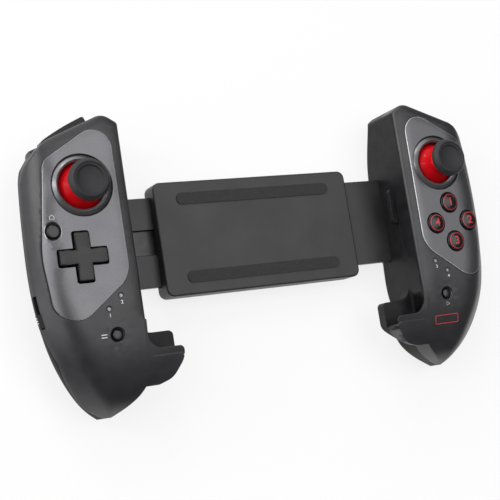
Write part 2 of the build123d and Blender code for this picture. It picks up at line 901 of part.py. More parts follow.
key_top = body_depth + key_proud
for name, place in key_places.items():
    ceiling = right_key_ceiling if name == "right" else inside_front
    keep(press_button(place, key_radius, ceiling, key_top, key_travel, 0.9), f"{name}_button")
menu_button = press_button(
    (menu_out, menu_up), menu_radius, menu_front - wall - menu_slack, menu_front + 0.4, small_travel, 0.4
)
home_button = press_button(
    (home_out, home_up), home_radius, home_ceiling, home_front + 1.1, small_travel, 0.5
)
keep(menu_button, "start_button")
keep(mirrored(menu_button), "select_button")
keep(mirrored(home_button), "home_button")

# Direction pad: a cross that rocks on a ball, whose neck leans in the cup of a post
stud_turns = (0, 90, 180, 270)
with BuildPart() as dpad:
    with BuildSketch(face_plane(dpad_pivot_height - 0.1)):
        with Locations((pad_centre_out, pad_centre_up)):
            add(cross(dpad_half, dpad_arm, dpad_corner))
    extrude(amount=plate_front + dpad_crown - dpad_pivot_height + 0.1)
    fillet(dpad.faces().sort_by(Axis.Z)[-1].edges(), 0.6)
    with BuildSketch(face_plane(dpad_disc_bottom)):
        with Locations((pad_centre_out, pad_centre_up)):
            Circle(dpad_disc_radius)
    extrude(amount=dpad_pivot_height - dpad_disc_bottom)
    with BuildSketch(face_plane(stud_bottom)):
        with Locations((pad_centre_out, pad_centre_up)):
            with PolarLocations(stud_radius, 4):
                Circle(1.2)
    extrude(amount=dpad_disc_bottom - stud_bottom)
    with Locations(at(pad_centre_out, pad_centre_up, dpad_pivot_height)):
        Sphere(ball_radius + ball_play, mode=Mode.SUBTRACT)
keep(mirrored(dpad), "dpad")

with BuildPart() as dpad_pivot:
    with Locations(at(pad_centre_out, pad_centre_up, dpad_pivot_height)):
        Sphere(ball_radius)
    with BuildSketch(face_plane(neck_foot)):
        with Locations((pad_centre_out, pad_centre_up)):
            Circle(neck_radius)
    extrude(amount=dpad_pivot_height - neck_foot)
keep(mirrored(dpad_pivot), "dpad_pivot")

with BuildPart() as dpad_post:
    with BuildSketch(face_plane(board_top)):
        with Locations((pad_centre_out, pad_centre_up)):
            Circle(dpad_post_radius)
    extrude(amount=dpad_post_top - board_top)
    with BuildSketch(face_plane(neck_foot - running_gap)):
        with Locations((pad_centre_out, pad_centre_up)):
            Circle(neck_radius + 0.6)
    extrude(amount=dpad_post_top - neck_foot + running_gap, mode=Mode.SUBTRACT)
keep(mirrored(dpad_post), "dpad_post")

# Circuit boards and the rubber sheets with the button contacts
with BuildPart() as circuit_board:
    with BuildSketch(face_plane(board_bottom)):
        with BuildLine():
            Polyline(
                (board_inner, 30.0),
                (34.0, 30.0),
                (board_outer - 1.0, 50.0),
                (board_outer, 72.0),
                (board_outer, height - 33.5),
                (36.0, height - 22.5),
                (board_inner, height - 22.5),
                close=True,
            )
        make_face()
        with Locations(*[screw_places[n] for n in board_posts]):
            Circle(post_radius + running_gap, mode=Mode.SUBTRACT)
    extrude(amount=board_thickness)
keep_pair(circuit_board, "circuit_board")


def contact_sheet(contacts, holes):
    """A rubber sheet with a raised contact under each button; a hole is a place and a radius."""
    with BuildPart() as sheet:
        with BuildSketch(face_plane(board_top)):
            with BuildLine():
                FilletPolyline(
                    (board_inner + 0.4, 32.0),
                    (32.0, 32.0),
                    (board_outer - 3.8, 50.0),
                    (board_outer - 1.4, 66.0),
                    (board_outer - 1.4, height - 49.7),
                    (board_inner + 0.4, height - 49.7),
                    radius=[1.5] * 6,
                    close=True,
                )
            make_face()
            for place, radius in holes:
                with Locations(place):
                    Circle(radius, mode=Mode.SUBTRACT)
        extrude(amount=sheet_thickness)
        with BuildSketch(face_plane(board_top)):
            with Locations(*contacts):
                Circle(contact_radius)
        extrude(amount=contact_height, taper=6)
    return sheet


sheet_holes = [(place, lens_radius + running_gap) for place in lens_places]
sheet_holes += [(screw_places[board_posts[1]], post_step + running_gap)]
right_sheet = contact_sheet([*key_places.values(), (menu_out, menu_up)], sheet_holes)
keep(right_sheet, "right_contact_sheet")
pad_places = [
    (pad_centre_out + stud_radius * cos(radians(turn)), pad_centre_up + stud_radius * sin(radians(turn)))
    for turn in stud_turns
]
left_sheet = contact_sheet(
    [*pad_places, (menu_out, menu_up), (home_out, home_up)],
    sheet_holes + [((pad_centre_out, pad_centre_up), dpad_post_radius + running_gap)],
)
keep(mirrored(left_sheet), "left_contact_sheet")

# Light pipes of each grip's two indicator lamps
with BuildPart() as led_lenses:
    with BuildSketch(face_plane(board_top + running_gap)):
        with Locations(*lens_places):
            Circle(lens_radius)
    extrude(amount=body_depth - lens_recess - board_top - running_gap)
keep_pair(led_lenses, "led_lenses")

# Screws, from the back: five hold each grip together
with BuildPart() as case_screws:
    with BuildSketch(face_plane(screw_seat - screw_head_depth)):
        with Locations(*screw_places):
            Circle(screw_head)
    extrude(amount=screw_head_depth)
    with BuildSketch(face_plane(screw_seat)):
        with Locations(*screw_places):
            Circle(screw_radius)
    extrude(amount=screw_length - screw_head_depth)
    with BuildSketch(face_plane(screw_seat - screw_head_depth)):
        with Locations(*screw_places):
            Rectangle(2.4, 0.5)
            Rectangle(0.5, 2.4)
    extrude(amount=0.8, mode=Mode.SUBTRACT)
keep_pair(case_screws, "case_screws")

# Retaining tab on the inner wall
with BuildPart() as retaining_tab:
    with BuildSketch(face_plane(tab_low)):
        with BuildLine():
            FilletPolyline(
                (-seam, tab_up - tab_length / 2),
                (-tab_reach, tab_up - tab_length / 2),
                (-tab_reach, tab_up + tab_length / 2),
                (-seam, tab_up + tab_length / 2),
                radius=[2.6, 2.6],
            )
            Polyline(
                (-seam, tab_up + tab_length / 2),
                (-seam, tab_up + tab_length / 2 - tab_shoulder),
                (wall + 1.2, tab_up + tab_length / 2 - tab_shoulder),
                (wall + 1.2, tab_up - tab_length / 2 + tab_shoulder),
                (-seam, tab_up - tab_length / 2 + tab_shoulder),
                (-seam, tab_up - tab_length / 2),
            )
        make_face()
    extrude(amount=tab_high - tab_low)
keep_pair(retaining_tab, "retaining_tab")

# Shoulder: bumper above, trigger behind it, and the pins they turn on
rib_pitch = (bumper_length - 2 * bumper_end_margin) / rib_count
bumper_end = bumper_start + bumper_length
with BuildPart() as bumper:
    with BuildSketch(slope_plane(bumper_low)) as bumper_outline:
        with BuildLine():
            bumper_face = ThreePointArc(
                (bumper_start, bumper_inner_proud),
                (bumper_start + bumper_length / 2, bumper_middle_proud),
                (bumper_end, bumper_outer_proud),
            )
            Polyline(
                (bumper_end, bumper_outer_proud),
                (bumper_end, -bumper_root),
                (bumper_start, -bumper_root),
                (bumper_start, bumper_inner_proud),
            )
        make_face()
        fillet(bumper_outline.vertices().sort_by(Axis.Y)[-2:], 1.2)
        rib_places = [
            bumper_face @ ((bumper_end_margin + (n + 0.5) * rib_pitch) / bumper_length)
            for n in range(rib_count)
        ]
        with Locations(*rib_places):
            Rectangle(0.45 * rib_pitch, 2 * rib_depth, mode=Mode.SUBTRACT)
    extrude(amount=bumper_high - bumper_low)
    with BuildSketch(slope_plane(bumper_low - bumper_lip)):
        with Locations((bumper_start + bumper_length / 2, -wall - running_gap)):
            Rectangle(bumper_length + 1.8, 1.4, align=(Align.CENTER, Align.MAX))
    extrude(amount=bumper_high - bumper_low + 2 * bumper_lip)
    with BuildSketch(slope_plane(bumper_low)):
        with Locations(bumper_pivot):
            Circle(eye_radius)
        with Locations((bumper_pivot[0], bumper_pivot[1])):
            Rectangle(bumper_start - bumper_pivot[0], 1.4, align=(Align.MIN, Align.CENTER))
        with Locations((bumper_start - 1.2, bumper_pivot[1] - 0.7)):
            Rectangle(4.0, 2.0, align=(Align.MIN, Align.MIN))
        with Locations(bumper_pivot):
            Circle(pin_radius + bore_play, mode=Mode.SUBTRACT)
    extrude(amount=bumper_high - bumper_low)
keep_pair(bumper, "bumper")

with BuildPart() as trigger:
    with BuildSketch(slope_section(trigger_start)):
        with BuildLine():
            FilletPolyline(
                (-3.0, trigger_top),
                (0.8, trigger_top),
                (0.4, 8.5),
                (-3.5, 3.0),
                (-9.0, 1.5),
                (-12.5, 2.6),
                (-12.5, 5.0),
                (-6.8, 12.0),
                (-6.2, trigger_top),
                radius=[1.0, 9.0, 7.0, 6.0, 0.6, 0.6, 1.5],
            )
            Line((-6.2, trigger_top), (-3.0, trigger_top))
        make_face()
    extrude(amount=trigger_end - trigger_start)
    with BuildSketch(slope_section(trigger_start + trigger_cheek)):
        with BuildLine():
            FilletPolyline(
                (0.8 - trigger_skin, 2 * trigger_top),
                (0.4 - trigger_skin, 9.2),
                (-4.6, 5.1),
                (-9.2, 3.8),
                (-14.0, 5.2),
                radius=[7.0, 5.0, 4.0],
            )
            Polyline((-14.0, 5.2), (-14.0, 2 * trigger_top), (0.8 - trigger_skin, 2 * trigger_top))
        make_face()
    extrude(amount=trigger_end - trigger_start - 2 * trigger_cheek, mode=Mode.SUBTRACT)
    with BuildSketch(slope_section(0)):
        with Locations((trigger_pivot_off, trigger_pivot_height)):
            Circle(pin_radius + bore_play)
    extrude(amount=slope_length, mode=Mode.SUBTRACT)
keep_pair(trigger, "trigger")

with BuildPart() as shoulder_pins:
    with BuildSketch(slope_plane(bumper_pin_foot + 0.1)):
        with Locations(bumper_pivot):
            Circle(pin_radius)
    extrude(amount=bumper_pin_top - bumper_pin_foot - 0.2)
    with BuildSketch(slope_section(trigger_pin_start + 0.1)):
        with Locations((trigger_pivot_off, trigger_pivot_height)):
            Circle(pin_radius)
    extrude(amount=far_cheek + cheek_thickness / 2 - trigger_pin_start - 0.6)
keep_pair(shoulder_pins, "shoulder_pins")

with BuildPart() as trigger_spring:
    with BuildSketch(slope_section(16.0)):
        with Locations((trigger_pivot_off, trigger_pivot_height)):
            Circle(pin_radius + 0.6)
            Circle(pin_radius + 0.1, mode=Mode.SUBTRACT)
    extrude(amount=7.0)
keep_pair(trigger_spring, "trigger_spring")

# Mode switch on the left grip
with BuildPart() as mode_switch_knob:
    with BuildSketch(switch_plane.offset(seam)):
        with Locations((-switch_travel / 2, 0)):
            Rectangle(knob_length, knob_proud, align=(Align.CENTER, Align.MAX))
            Rectangle(knob_length, knob_root, align=(Align.CENTER, Align.MIN))
    extrude(amount=switch_high - switch_low - 2 * seam)
keep(mirrored(mode_switch_knob), "mode_switch_knob")

with BuildPart() as mode_switch_body:
    with BuildSketch(switch_plane.offset(board_top - switch_low)):
        with Locations((0, knob_root + running_gap)):
            Rectangle(switch_body_length, switch_body_width, align=(Align.CENTER, Align.MIN))
    extrude(amount=switch_body_top - board_top)
keep(mirrored(mode_switch_body), "mode_switch_body")

# Charging socket and battery of the right grip
with BuildPart() as usb_port:
    with BuildSketch(socket_plane):
        with Locations((0, socket_sink)):
            Rectangle(socket_width, socket_length, align=(Align.CENTER, Align.MIN))
    extrude(amount=socket_height)
    with BuildSketch(socket_plane.offset(0.3)):
        with Locations((0, socket_sink)):
            Rectangle(socket_width - 0.6, socket_length - 0.6, align=(Align.CENTER, Align.MIN))
    extrude(amount=socket_height - 0.6, mode=Mode.SUBTRACT)
    with BuildSketch(socket_plane.offset(socket_height / 2 - 0.35)):
        with Locations((0, socket_sink + 1.6)):
            Rectangle(socket_width - 2.0, socket_length - 1.6, align=(Align.CENTER, Align.MIN))
    extrude(amount=0.7)
keep(usb_port, "usb_port")

with BuildPart() as battery:
    with BuildSketch(face_plane(wall)):
        with Locations((battery_out, battery_up)):
            RectangleRounded(battery_width, battery_length, 1.5)
    extrude(amount=battery_thickness)
keep(battery, "battery")


# Bridge: two covers, and the arms of the grips that slide in it, one lane behind the other
def bridge_plane(z):
    """A plane across the bridge, centred on it."""
    return Plane(origin=(0, bridge_up - half_height, z))


def arm(low, slot_low, slot_high, channel_low, channel_high):
    """A grip's arm in the lane that starts at low, with its slots for the springs and the cable."""
    with BuildPart() as piece:
        with BuildSketch(face_plane(low)):
            with Locations((-arm_engagement / 2, bridge_up)):
                Rectangle(arm_engagement, arm_width)
        extrude(amount=arm_thickness)
        with BuildSketch(face_plane(arm_low)):
            with Locations((arm_root / 2, bridge_up)):
                Rectangle(arm_root, arm_width)
        extrude(amount=arm_high - arm_low)
        with BuildSketch(side_plane(-arm_engagement)):
            with Locations((bridge_up, low + arm_thickness / 2)):
                with GridLocations(2 * spring_offset, 1, 2, 1):
                    Rectangle(spring_channel, spring_channel)
        extrude(amount=arm_engagement + spring_root, mode=Mode.SUBTRACT)
        with BuildSketch(side_plane(-arm_engagement)):
            with Locations((bridge_up, (slot_low + slot_high) / 2)):
                with GridLocations(2 * spring_offset, 1, 2, 1):
                    Rectangle(blade_width + 0.4, slot_high - slot_low)
        extrude(amount=arm_engagement - slot_end, mode=Mode.SUBTRACT)
        with BuildSketch(side_plane(-arm_engagement)):
            with Locations((bridge_up, (channel_low + channel_high) / 2)):
                Rectangle(cable_width + 1.0, channel_high - channel_low)
        extrude(amount=arm_engagement + cable_out + 0.6, mode=Mode.SUBTRACT)
        with BuildSketch(face_plane(channel_low)):
            with Locations((cable_out - 0.4, bridge_up)):
                Rectangle(2.0, cable_width + 1.0)
        extrude(amount=body_depth, mode=Mode.SUBTRACT)
    return piece


right_arm = arm(front_lane, front_lane + arm_thickness / 2, body_depth, 6.0, front_cable + 0.5)
left_arm = arm(rear_lane, 0, rear_lane + arm_thickness / 2, rear_cable - 0.5, front_lane)
keep(right_arm, "right_arm")
keep(mirrored(left_arm), "left_arm")


def cover(low, high, cavity_low, cavity_high, open_end, blade_low, blade_high):
    """One cover of the bridge, open at one end for its arm, with a blade for each spring."""
    with BuildPart() as piece:
        with BuildSketch(bridge_plane(low)):
            RectangleRounded(bridge_length, bridge_height, bridge_corner)
        extrude(amount=high - low)
        skin_face = piece.faces().sort_by(Axis.Z)[-1 if low > front_lane - 1 else 0]
        fillet(skin_face.edges(), cover_edge)
        with BuildSketch(bridge_plane(cavity_low)):
            Rectangle(bridge_length - 2 * cover_side, bridge_height - 2 * cover_side)
        extrude(amount=cavity_high - cavity_low, mode=Mode.SUBTRACT)
        with BuildSketch(bridge_plane(cavity_low)):
            with GridLocations(1, arm_width + 2 * running_gap + rail_thickness, 1, 2):
                Rectangle(bridge_length - cover_side, rail_thickness)
            with GridLocations(2 * boss_x, 2 * boss_y, 2, 2):
                Circle(boss_radius)
            with Locations((-open_end * blade_x, 0)):
                with GridLocations(1, 2 * spring_offset, 1, 2):
                    Rectangle(blade_thickness, blade_width)
        extrude(amount=cavity_high - cavity_low)
        with BuildSketch(bridge_plane(cavity_low)):
            with Locations((open_end * (bridge_length / 2), 0)):
                Rectangle(4 * cover_side, arm_width + 2 * running_gap)
        extrude(amount=cavity_high - cavity_low, mode=Mode.SUBTRACT)
        with BuildSketch(bridge_plane(blade_low)):
            with Locations((-open_end * blade_x, 0)):
                with GridLocations(1, 2 * spring_offset, 1, 2):
                    Rectangle(3 * blade_thickness, 2 * blade_width)
        extrude(amount=blade_high - blade_low, mode=Mode.SUBTRACT)
        with BuildSketch(bridge_plane(0)):
            with GridLocations(2 * boss_x, 2 * boss_y, 2, 2):
                Circle(bridge_screw_radius)
        extrude(amount=bridge_screw_top + 0.4, mode=Mode.SUBTRACT)
        with BuildSketch(bridge_plane(0)):
            with GridLocations(2 * boss_x, 2 * boss_y, 2, 2):
                Circle(bridge_screw_head + 0.2)
        extrude(amount=bridge_screw_seat, mode=Mode.SUBTRACT)
    return piece


rear_skin = bridge_bottom + cover_skin
front_skin = bridge_top - cover_skin
rear_cover = cover(
    bridge_bottom, front_lane - 0.05, rear_skin, front_lane, -1, rear_lane + 3.4, front_lane
)
keep(rear_cover, "bridge_rear_cover")
front_cover = cover(
    front_lane, bridge_top, front_lane, front_skin, 1, front_lane, front_lane + 1.0
)
keep(front_cover, "bridge_front_cover")

with BuildPart() as bridge_screws:
    with BuildSketch(bridge_plane(bridge_screw_seat - bridge_screw_head_depth)):
        with GridLocations(2 * boss_x, 2 * boss_y, 2, 2):
            Circle(bridge_screw_head)
    extrude(amount=bridge_screw_head_depth)
    with BuildSketch(bridge_plane(bridge_screw_seat)):
        with GridLocations(2 * boss_x, 2 * boss_y, 2, 2):
            Circle(bridge_screw_radius - bore_play)
    extrude(amount=bridge_screw_top - bridge_screw_seat)
keep(bridge_screws, "bridge_screws")

with BuildPart() as bridge_pads:
    with BuildSketch(bridge_plane(bridge_top)):
        with GridLocations(1, pad_spacing, 1, 2):
            RectangleRounded(pad_length, pad_width, 0.48 * pad_width)
    extrude(amount=pad_thickness)
keep(bridge_pads, "bridge_pads")


def tension_springs(low):
    """The pair of springs in the lane that starts at low, from a cover's blades to an arm's root."""
    with BuildPart() as springs:
        with BuildSketch(side_plane(-half_gap - blade_x + blade_thickness / 2)):
            with Locations((bridge_up, low + arm_thickness / 2)):
                with GridLocations(2 * spring_offset, 1, 2, 1):
                    Circle(spring_radius)
                    Circle(spring_radius - spring_wire, mode=Mode.SUBTRACT)
        extrude(amount=half_gap + blade_x - blade_thickness / 2 + spring_root)
    return springs


keep(tension_springs(front_lane), "right_tension_springs")
keep(mirrored(tension_springs(rear_lane)), "left_tension_springs")

# Ribbon cable between the circuit boards, folded back round the tip of each arm
cable_bend = (front_cable - rear_cable) / 4
fold_x = arm_engagement - half_gap + cable_bend + running_gap
board_x = half_gap + cable_out
middle_cable = (rear_cable + front_cable) / 2
cable_plane = Plane(origin=(0, bridge_up - half_height, 0), x_dir=(1, 0, 0), z_dir=(0, -1, 0))
with BuildPart() as link_cable:
    with BuildSketch(cable_plane):
        with BuildLine():
            FilletPolyline(
                (-board_x, board_bottom),
                (-board_x, rear_cable),
                (fold_x + cable_bend, rear_cable),
                (fold_x + cable_bend, middle_cable),
                (-fold_x - cable_bend, middle_cable),
                (-fold_x - cable_bend, front_cable),
                (board_x, front_cable),
                (board_x, board_bottom),
                radius=[1.0, *[cable_bend - 0.01] * 4, 1.0],
            )
        trace(line_width=cable_thickness)
    extrude(amount=cable_width / 2, both=True)
keep(link_cable, "link_cable")
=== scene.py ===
# %% [markdown]
# # A stretching gamepad, finished for the camera
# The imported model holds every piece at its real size. This lesson gives each piece its surface, and
# swaps the plain solids that show most for finer ones: the shells and plates, the thumb sticks, the
# buttons and the direction pad. Everything is in metres, and each new piece keeps its place in its
# own mesh.

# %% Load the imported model
import math

import bmesh
import bpy
from mathutils import Matrix, Vector
from mathutils.bvhtree import BVHTree


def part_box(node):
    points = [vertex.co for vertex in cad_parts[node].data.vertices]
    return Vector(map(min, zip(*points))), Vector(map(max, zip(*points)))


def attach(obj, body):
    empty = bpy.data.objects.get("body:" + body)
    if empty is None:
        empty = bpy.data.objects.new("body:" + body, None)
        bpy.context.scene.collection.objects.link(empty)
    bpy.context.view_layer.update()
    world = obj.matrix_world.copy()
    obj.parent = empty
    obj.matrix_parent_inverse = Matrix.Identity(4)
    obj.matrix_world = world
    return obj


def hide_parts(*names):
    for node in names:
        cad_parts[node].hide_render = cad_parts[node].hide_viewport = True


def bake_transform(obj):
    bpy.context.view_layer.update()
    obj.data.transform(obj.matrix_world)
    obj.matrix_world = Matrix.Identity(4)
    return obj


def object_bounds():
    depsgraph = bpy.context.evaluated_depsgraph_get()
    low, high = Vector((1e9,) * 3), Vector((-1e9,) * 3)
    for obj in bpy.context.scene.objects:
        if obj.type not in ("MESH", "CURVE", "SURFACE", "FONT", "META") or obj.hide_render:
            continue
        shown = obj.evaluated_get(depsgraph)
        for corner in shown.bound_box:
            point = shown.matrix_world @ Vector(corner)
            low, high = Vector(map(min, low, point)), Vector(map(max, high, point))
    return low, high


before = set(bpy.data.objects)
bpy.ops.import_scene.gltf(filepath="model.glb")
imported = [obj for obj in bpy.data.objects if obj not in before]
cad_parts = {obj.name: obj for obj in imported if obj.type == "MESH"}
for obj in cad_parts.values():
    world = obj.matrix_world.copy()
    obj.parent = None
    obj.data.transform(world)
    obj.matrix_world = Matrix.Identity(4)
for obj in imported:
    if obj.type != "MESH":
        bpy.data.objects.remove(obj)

cad_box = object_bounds()
mm = 0.001
scene = bpy.context.scene
print("pieces in the packed model:", len(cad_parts))

# %% [markdown]
# ## The camera
# A product photograph is taken from far off with a long lens, so that near parts don't swell. The
# camera stands above the left grip and looks across to the right one. An 81 mm lens on a 36 mm
# sensor gives the picture's narrow view, and the three angles turn it about X, Y and Z.

# %% Place the camera
camera_place = (-0.26764, -0.06613, 0.52872)
camera_angles = (11.144, -25.374, -9.838)
lens_length = 81.4

lens = bpy.data.cameras.new("camera")
lens.lens = lens_length
lens.sensor_width = 36
camera = bpy.data.objects.new("camera", lens)
camera.location = camera_place
camera.rotation_euler = [math.radians(angle) for angle in camera_angles]
scene.collection.objects.link(camera)
scene.camera = camera
print("camera stands", round(Vector(camera_place).length, 3), "m from the origin")

# %% [markdown]
# ## Floor, world and lamps
# The gamepad lies on its back on a pale sheet. Black plastic shows mostly what it reflects, so the
# studio is part of the finish. Overhead the world glows softly round one direction and fades away
# from it, which draws the broad shine on the satin plates and lets their outer sides go dark. Its
# left wall and its far wall are pale and draw light rims along the grips. The sheet looks white to
# the camera and in reflections.

# %% Lay the floor
floor_size = 6.0
floor_drop = 0.05 * mm
paper_white = (0.88, 0.88, 0.88, 1)
white_share = 0.80


def seen_directly(links, nodes):
    """One where a camera, glossy or transmission ray arrives, and zero for diffuse light."""
    ray = nodes.new("ShaderNodeLightPath")
    either = nodes.new("ShaderNodeMath")
    either.operation = "MAXIMUM"
    links.new(ray.outputs["Is Camera Ray"], either.inputs[0])
    links.new(ray.outputs["Is Glossy Ray"], either.inputs[1])
    any_of_them = nodes.new("ShaderNodeMath")
    any_of_them.operation = "MAXIMUM"
    links.new(either.outputs[0], any_of_them.inputs[0])
    links.new(ray.outputs["Is Transmission Ray"], any_of_them.inputs[1])
    return any_of_them.outputs[0]


sheet_look = bpy.data.materials.new("pale_sheet")
sheet_look.use_nodes = True
nodes = sheet_look.node_tree.nodes
links = sheet_look.node_tree.links
paper = nodes["Principled BSDF"]
paper.inputs["Base Color"].default_value = paper_white
paper.inputs["Roughness"].default_value = 0.9
glow = nodes.new("ShaderNodeEmission")
glow.inputs["Color"].default_value = (1, 1, 1, 1)
share = nodes.new("ShaderNodeMath")
share.operation = "MULTIPLY"
share.inputs[1].default_value = white_share
links.new(seen_directly(links, nodes), share.inputs[0])
blend = nodes.new("ShaderNodeMixShader")
links.new(share.outputs[0], blend.inputs["Fac"])
links.new(paper.outputs[0], blend.inputs[1])
links.new(glow.outputs[0], blend.inputs[2])
links.new(blend.outputs[0], nodes["Material Output"].inputs["Surface"])

sheet_shape = bmesh.new()
bmesh.ops.create_grid(sheet_shape, x_segments=1, y_segments=1, size=floor_size / 2)
floor_mesh = bpy.data.meshes.new("floor")
sheet_shape.to_mesh(floor_mesh)
sheet_shape.free()
floor = bpy.data.objects.new("floor", floor_mesh)
floor.location.z = cad_box[0].z - floor_drop
floor_mesh.materials.append(sheet_look)
scene.collection.objects.link(floor)
print("floor lies at", round(floor.location.z / mm, 2), "mm")

# %% Light the world
glow_direction = (0.24, 0.14, 0.96)
left_direction = (-0.93, 0.25, 0.22)
far_direction = (-0.15, 0.93, 0.33)
glow_level = 2.6
left_wall_level = 2.4
far_wall_level = 1.8
room_level = 0.15

world = bpy.data.worlds.new("studio")
scene.world = world
world.use_nodes = True
nodes = world.node_tree.nodes
links = world.node_tree.links
sky = nodes.new("ShaderNodeTexCoord")


def toward(direction, start, full, level):
    """Light that grows smoothly towards one direction of the room."""
    closeness = nodes.new("ShaderNodeVectorMath")
    closeness.operation = "DOT_PRODUCT"
    links.new(sky.outputs["Generated"], closeness.inputs[0])
    closeness.inputs[1].default_value = Vector(direction).normalized()
    strength = nodes.new("ShaderNodeMapRange")
    strength.interpolation_type = "SMOOTHSTEP"
    strength.inputs["From Min"].default_value = start
    strength.inputs["From Max"].default_value = full
    strength.inputs["To Max"].default_value = level
    links.new(closeness.outputs["Value"], strength.inputs["Value"])
    return strength.outputs["Result"]


def sum_of(first, second):
    """Two strengths added."""
    both = nodes.new("ShaderNodeMath")
    links.new(first, both.inputs[0])
    links.new(second, both.inputs[1])
    return both.outputs[0]


glow_above = toward(glow_direction, 0.85, 0.985, glow_level)
left_wall = toward(left_direction, 0.62, 0.95, left_wall_level)
far_wall = toward(far_direction, 0.78, 0.97, far_wall_level)
room = nodes.new("ShaderNodeMath")
room.inputs[1].default_value = room_level
links.new(sum_of(sum_of(glow_above, left_wall), far_wall), room.inputs[0])
links.new(room.outputs[0], nodes["Background"].inputs["Strength"])
nodes["Background"].inputs["Color"].default_value = (1, 1, 1, 1)
scene.view_settings.view_transform = "Standard"
print("the room glows from", room_level, "to", room_level + glow_level)

# %% Hang the lamps


def hang_lamp(name, place, target, width, height, power):
    """A soft rectangular lamp that faces a point on the gamepad."""
    light = bpy.data.lights.new(name, "AREA")
    light.shape = "RECTANGLE"
    light.size = width
    light.size_y = height
    light.energy = power
    lamp = bpy.data.objects.new(name, light)
    lamp.location = place
    lamp.rotation_euler = (Vector(target) - Vector(place)).to_track_quat("-Z", "Y").to_euler()
    scene.collection.objects.link(lamp)
    return lamp


lit_point = (0.0, 0.0, 0.03)
hang_lamp("key_lamp", (-0.25, 0.75, 0.60), lit_point, width=0.12, height=0.20, power=1.0)
hang_lamp("side_lamp", (-0.82, 0.30, 0.58), lit_point, width=0.10, height=1.0, power=2.2)

# %% [markdown]
# ## Finishes
# Each finish is a small node tree on the principled shader. Noise on Object coordinates varies the
# colour and the roughness a little, as moulded plastic does, and a bump gives the grain. A grain
# size is the real one: spark-eroded tools leave about 0.3 mm, and rubber is coarser.

# %% Helpers for all finishes


def set_socket(finish, socket, value):
    """Set one number or colour of a finish's shader, the same all over the surface."""
    finish.node_tree.nodes["Principled BSDF"].inputs[socket].default_value = value


def new_finish(name, colour, roughness):
    """A material with one colour and roughness, and its Object coordinates ready for patterns."""
    finish = bpy.data.materials.new(name)
    finish.use_nodes = True
    set_socket(finish, "Base Color", (*colour, 1))
    set_socket(finish, "Roughness", roughness)
    place = finish.node_tree.nodes.new("ShaderNodeTexCoord")
    place.name = "place"
    return finish


def noise_of(finish, size, detail=4.0):
    """Noise whose grains measure size, in metres."""
    nodes = finish.node_tree.nodes
    noise = nodes.new("ShaderNodeTexNoise")
    noise.inputs["Scale"].default_value = 1 / size
    noise.inputs["Detail"].default_value = detail
    finish.node_tree.links.new(nodes["place"].outputs["Object"], noise.inputs["Vector"])
    return noise.outputs["Fac"]


def vary_colour(finish, dark, light, size):
    """The colour drifts between two close shades."""
    nodes = finish.node_tree.nodes
    ramp = nodes.new("ShaderNodeValToRGB")
    ramp.color_ramp.elements[0].position = 0.35
    ramp.color_ramp.elements[0].color = (*dark, 1)
    ramp.color_ramp.elements[1].position = 0.65
    ramp.color_ramp.elements[1].color = (*light, 1)
    finish.node_tree.links.new(noise_of(finish, size), ramp.inputs["Fac"])
    shader = nodes["Principled BSDF"]
    finish.node_tree.links.new(ramp.outputs["Color"], shader.inputs["Base Color"])


def vary_roughness(finish, low, high, size):
    """The roughness drifts, as where a hand has polished the surface."""
    nodes = finish.node_tree.nodes
    span = nodes.new("ShaderNodeMapRange")
    span.inputs["From Min"].default_value = 0.3
    span.inputs["From Max"].default_value = 0.7
    span.inputs["To Min"].default_value = low
    span.inputs["To Max"].default_value = high
    finish.node_tree.links.new(noise_of(finish, size), span.inputs["Value"])
    shader = nodes["Principled BSDF"]
    finish.node_tree.links.new(span.outputs["Result"], shader.inputs["Roughness"])


def add_grain(finish, size, depth, edge=0.0):
    """A fine bump over the whole surface, and edges that shade as if rounded by a small radius."""
    nodes = finish.node_tree.nodes
    bump = nodes.new("ShaderNodeBump")
    if edge:
        rounding = nodes.new("ShaderNodeBevel")
        rounding.samples = 6
        rounding.inputs["Radius"].default_value = edge
        finish.node_tree.links.new(rounding.outputs["Normal"], bump.inputs["Normal"])
    bump.inputs["Distance"].default_value = depth
    finish.node_tree.links.new(noise_of(finish, size, detail=2.0), bump.inputs["Height"])
    shader = nodes["Principled BSDF"]
    finish.node_tree.links.new(bump.outputs["Normal"], shader.inputs["Normal"])


# %% [markdown]
# ### Moulded black plastics
# The shells are matte black with a fine spark-eroded grain. The triggers and the bumper are the
# same plastic, a little smoother. The buttons are polished.

# %% Plastics of the shells
front_black = new_finish("front_shell_black", (0.018, 0.018, 0.020), 0.38)
vary_colour(front_black, (0.015, 0.015, 0.017), (0.021, 0.021, 0.024), 6 * mm)
vary_roughness(front_black, 0.35, 0.42, 14 * mm)
add_grain(front_black, 0.30 * mm, 0.007 * mm, edge=0.5 * mm)

# The rear shell's darker, duller black, which also paints shade on the inner sides of the front
# shells.
rear_and_shade_black = new_finish("rear_shell_black", (0.009, 0.009, 0.010), 0.46)
vary_colour(rear_and_shade_black, (0.007, 0.007, 0.008), (0.012, 0.012, 0.013), 6 * mm)
vary_roughness(rear_and_shade_black, 0.42, 0.50, 14 * mm)
set_socket(rear_and_shade_black, "Specular IOR Level", 0.2)
add_grain(rear_and_shade_black, 0.34 * mm, 0.011 * mm, edge=0.5 * mm)
print("plastics:", front_black.name, rear_and_shade_black.name)

# %% Plastics of the controls and the bridge
trigger_black = new_finish("trigger_black", (0.012, 0.012, 0.013), 0.30)
vary_colour(trigger_black, (0.010, 0.010, 0.011), (0.015, 0.015, 0.016), 5 * mm)
vary_roughness(trigger_black, 0.25, 0.35, 9 * mm)
set_socket(trigger_black, "Specular IOR Level", 0.3)
add_grain(trigger_black, 0.30 * mm, 0.005 * mm, edge=0.25 * mm)

button_black = new_finish("button_black", (0.007, 0.007, 0.008), 0.24)
vary_colour(button_black, (0.006, 0.006, 0.007), (0.009, 0.009, 0.010), 3 * mm)
vary_roughness(button_black, 0.20, 0.28, 6 * mm)
set_socket(button_black, "Specular IOR Level", 0.3)
set_socket(button_black, "Coat Weight", 0.25)
set_socket(button_black, "Coat Roughness", 0.08)

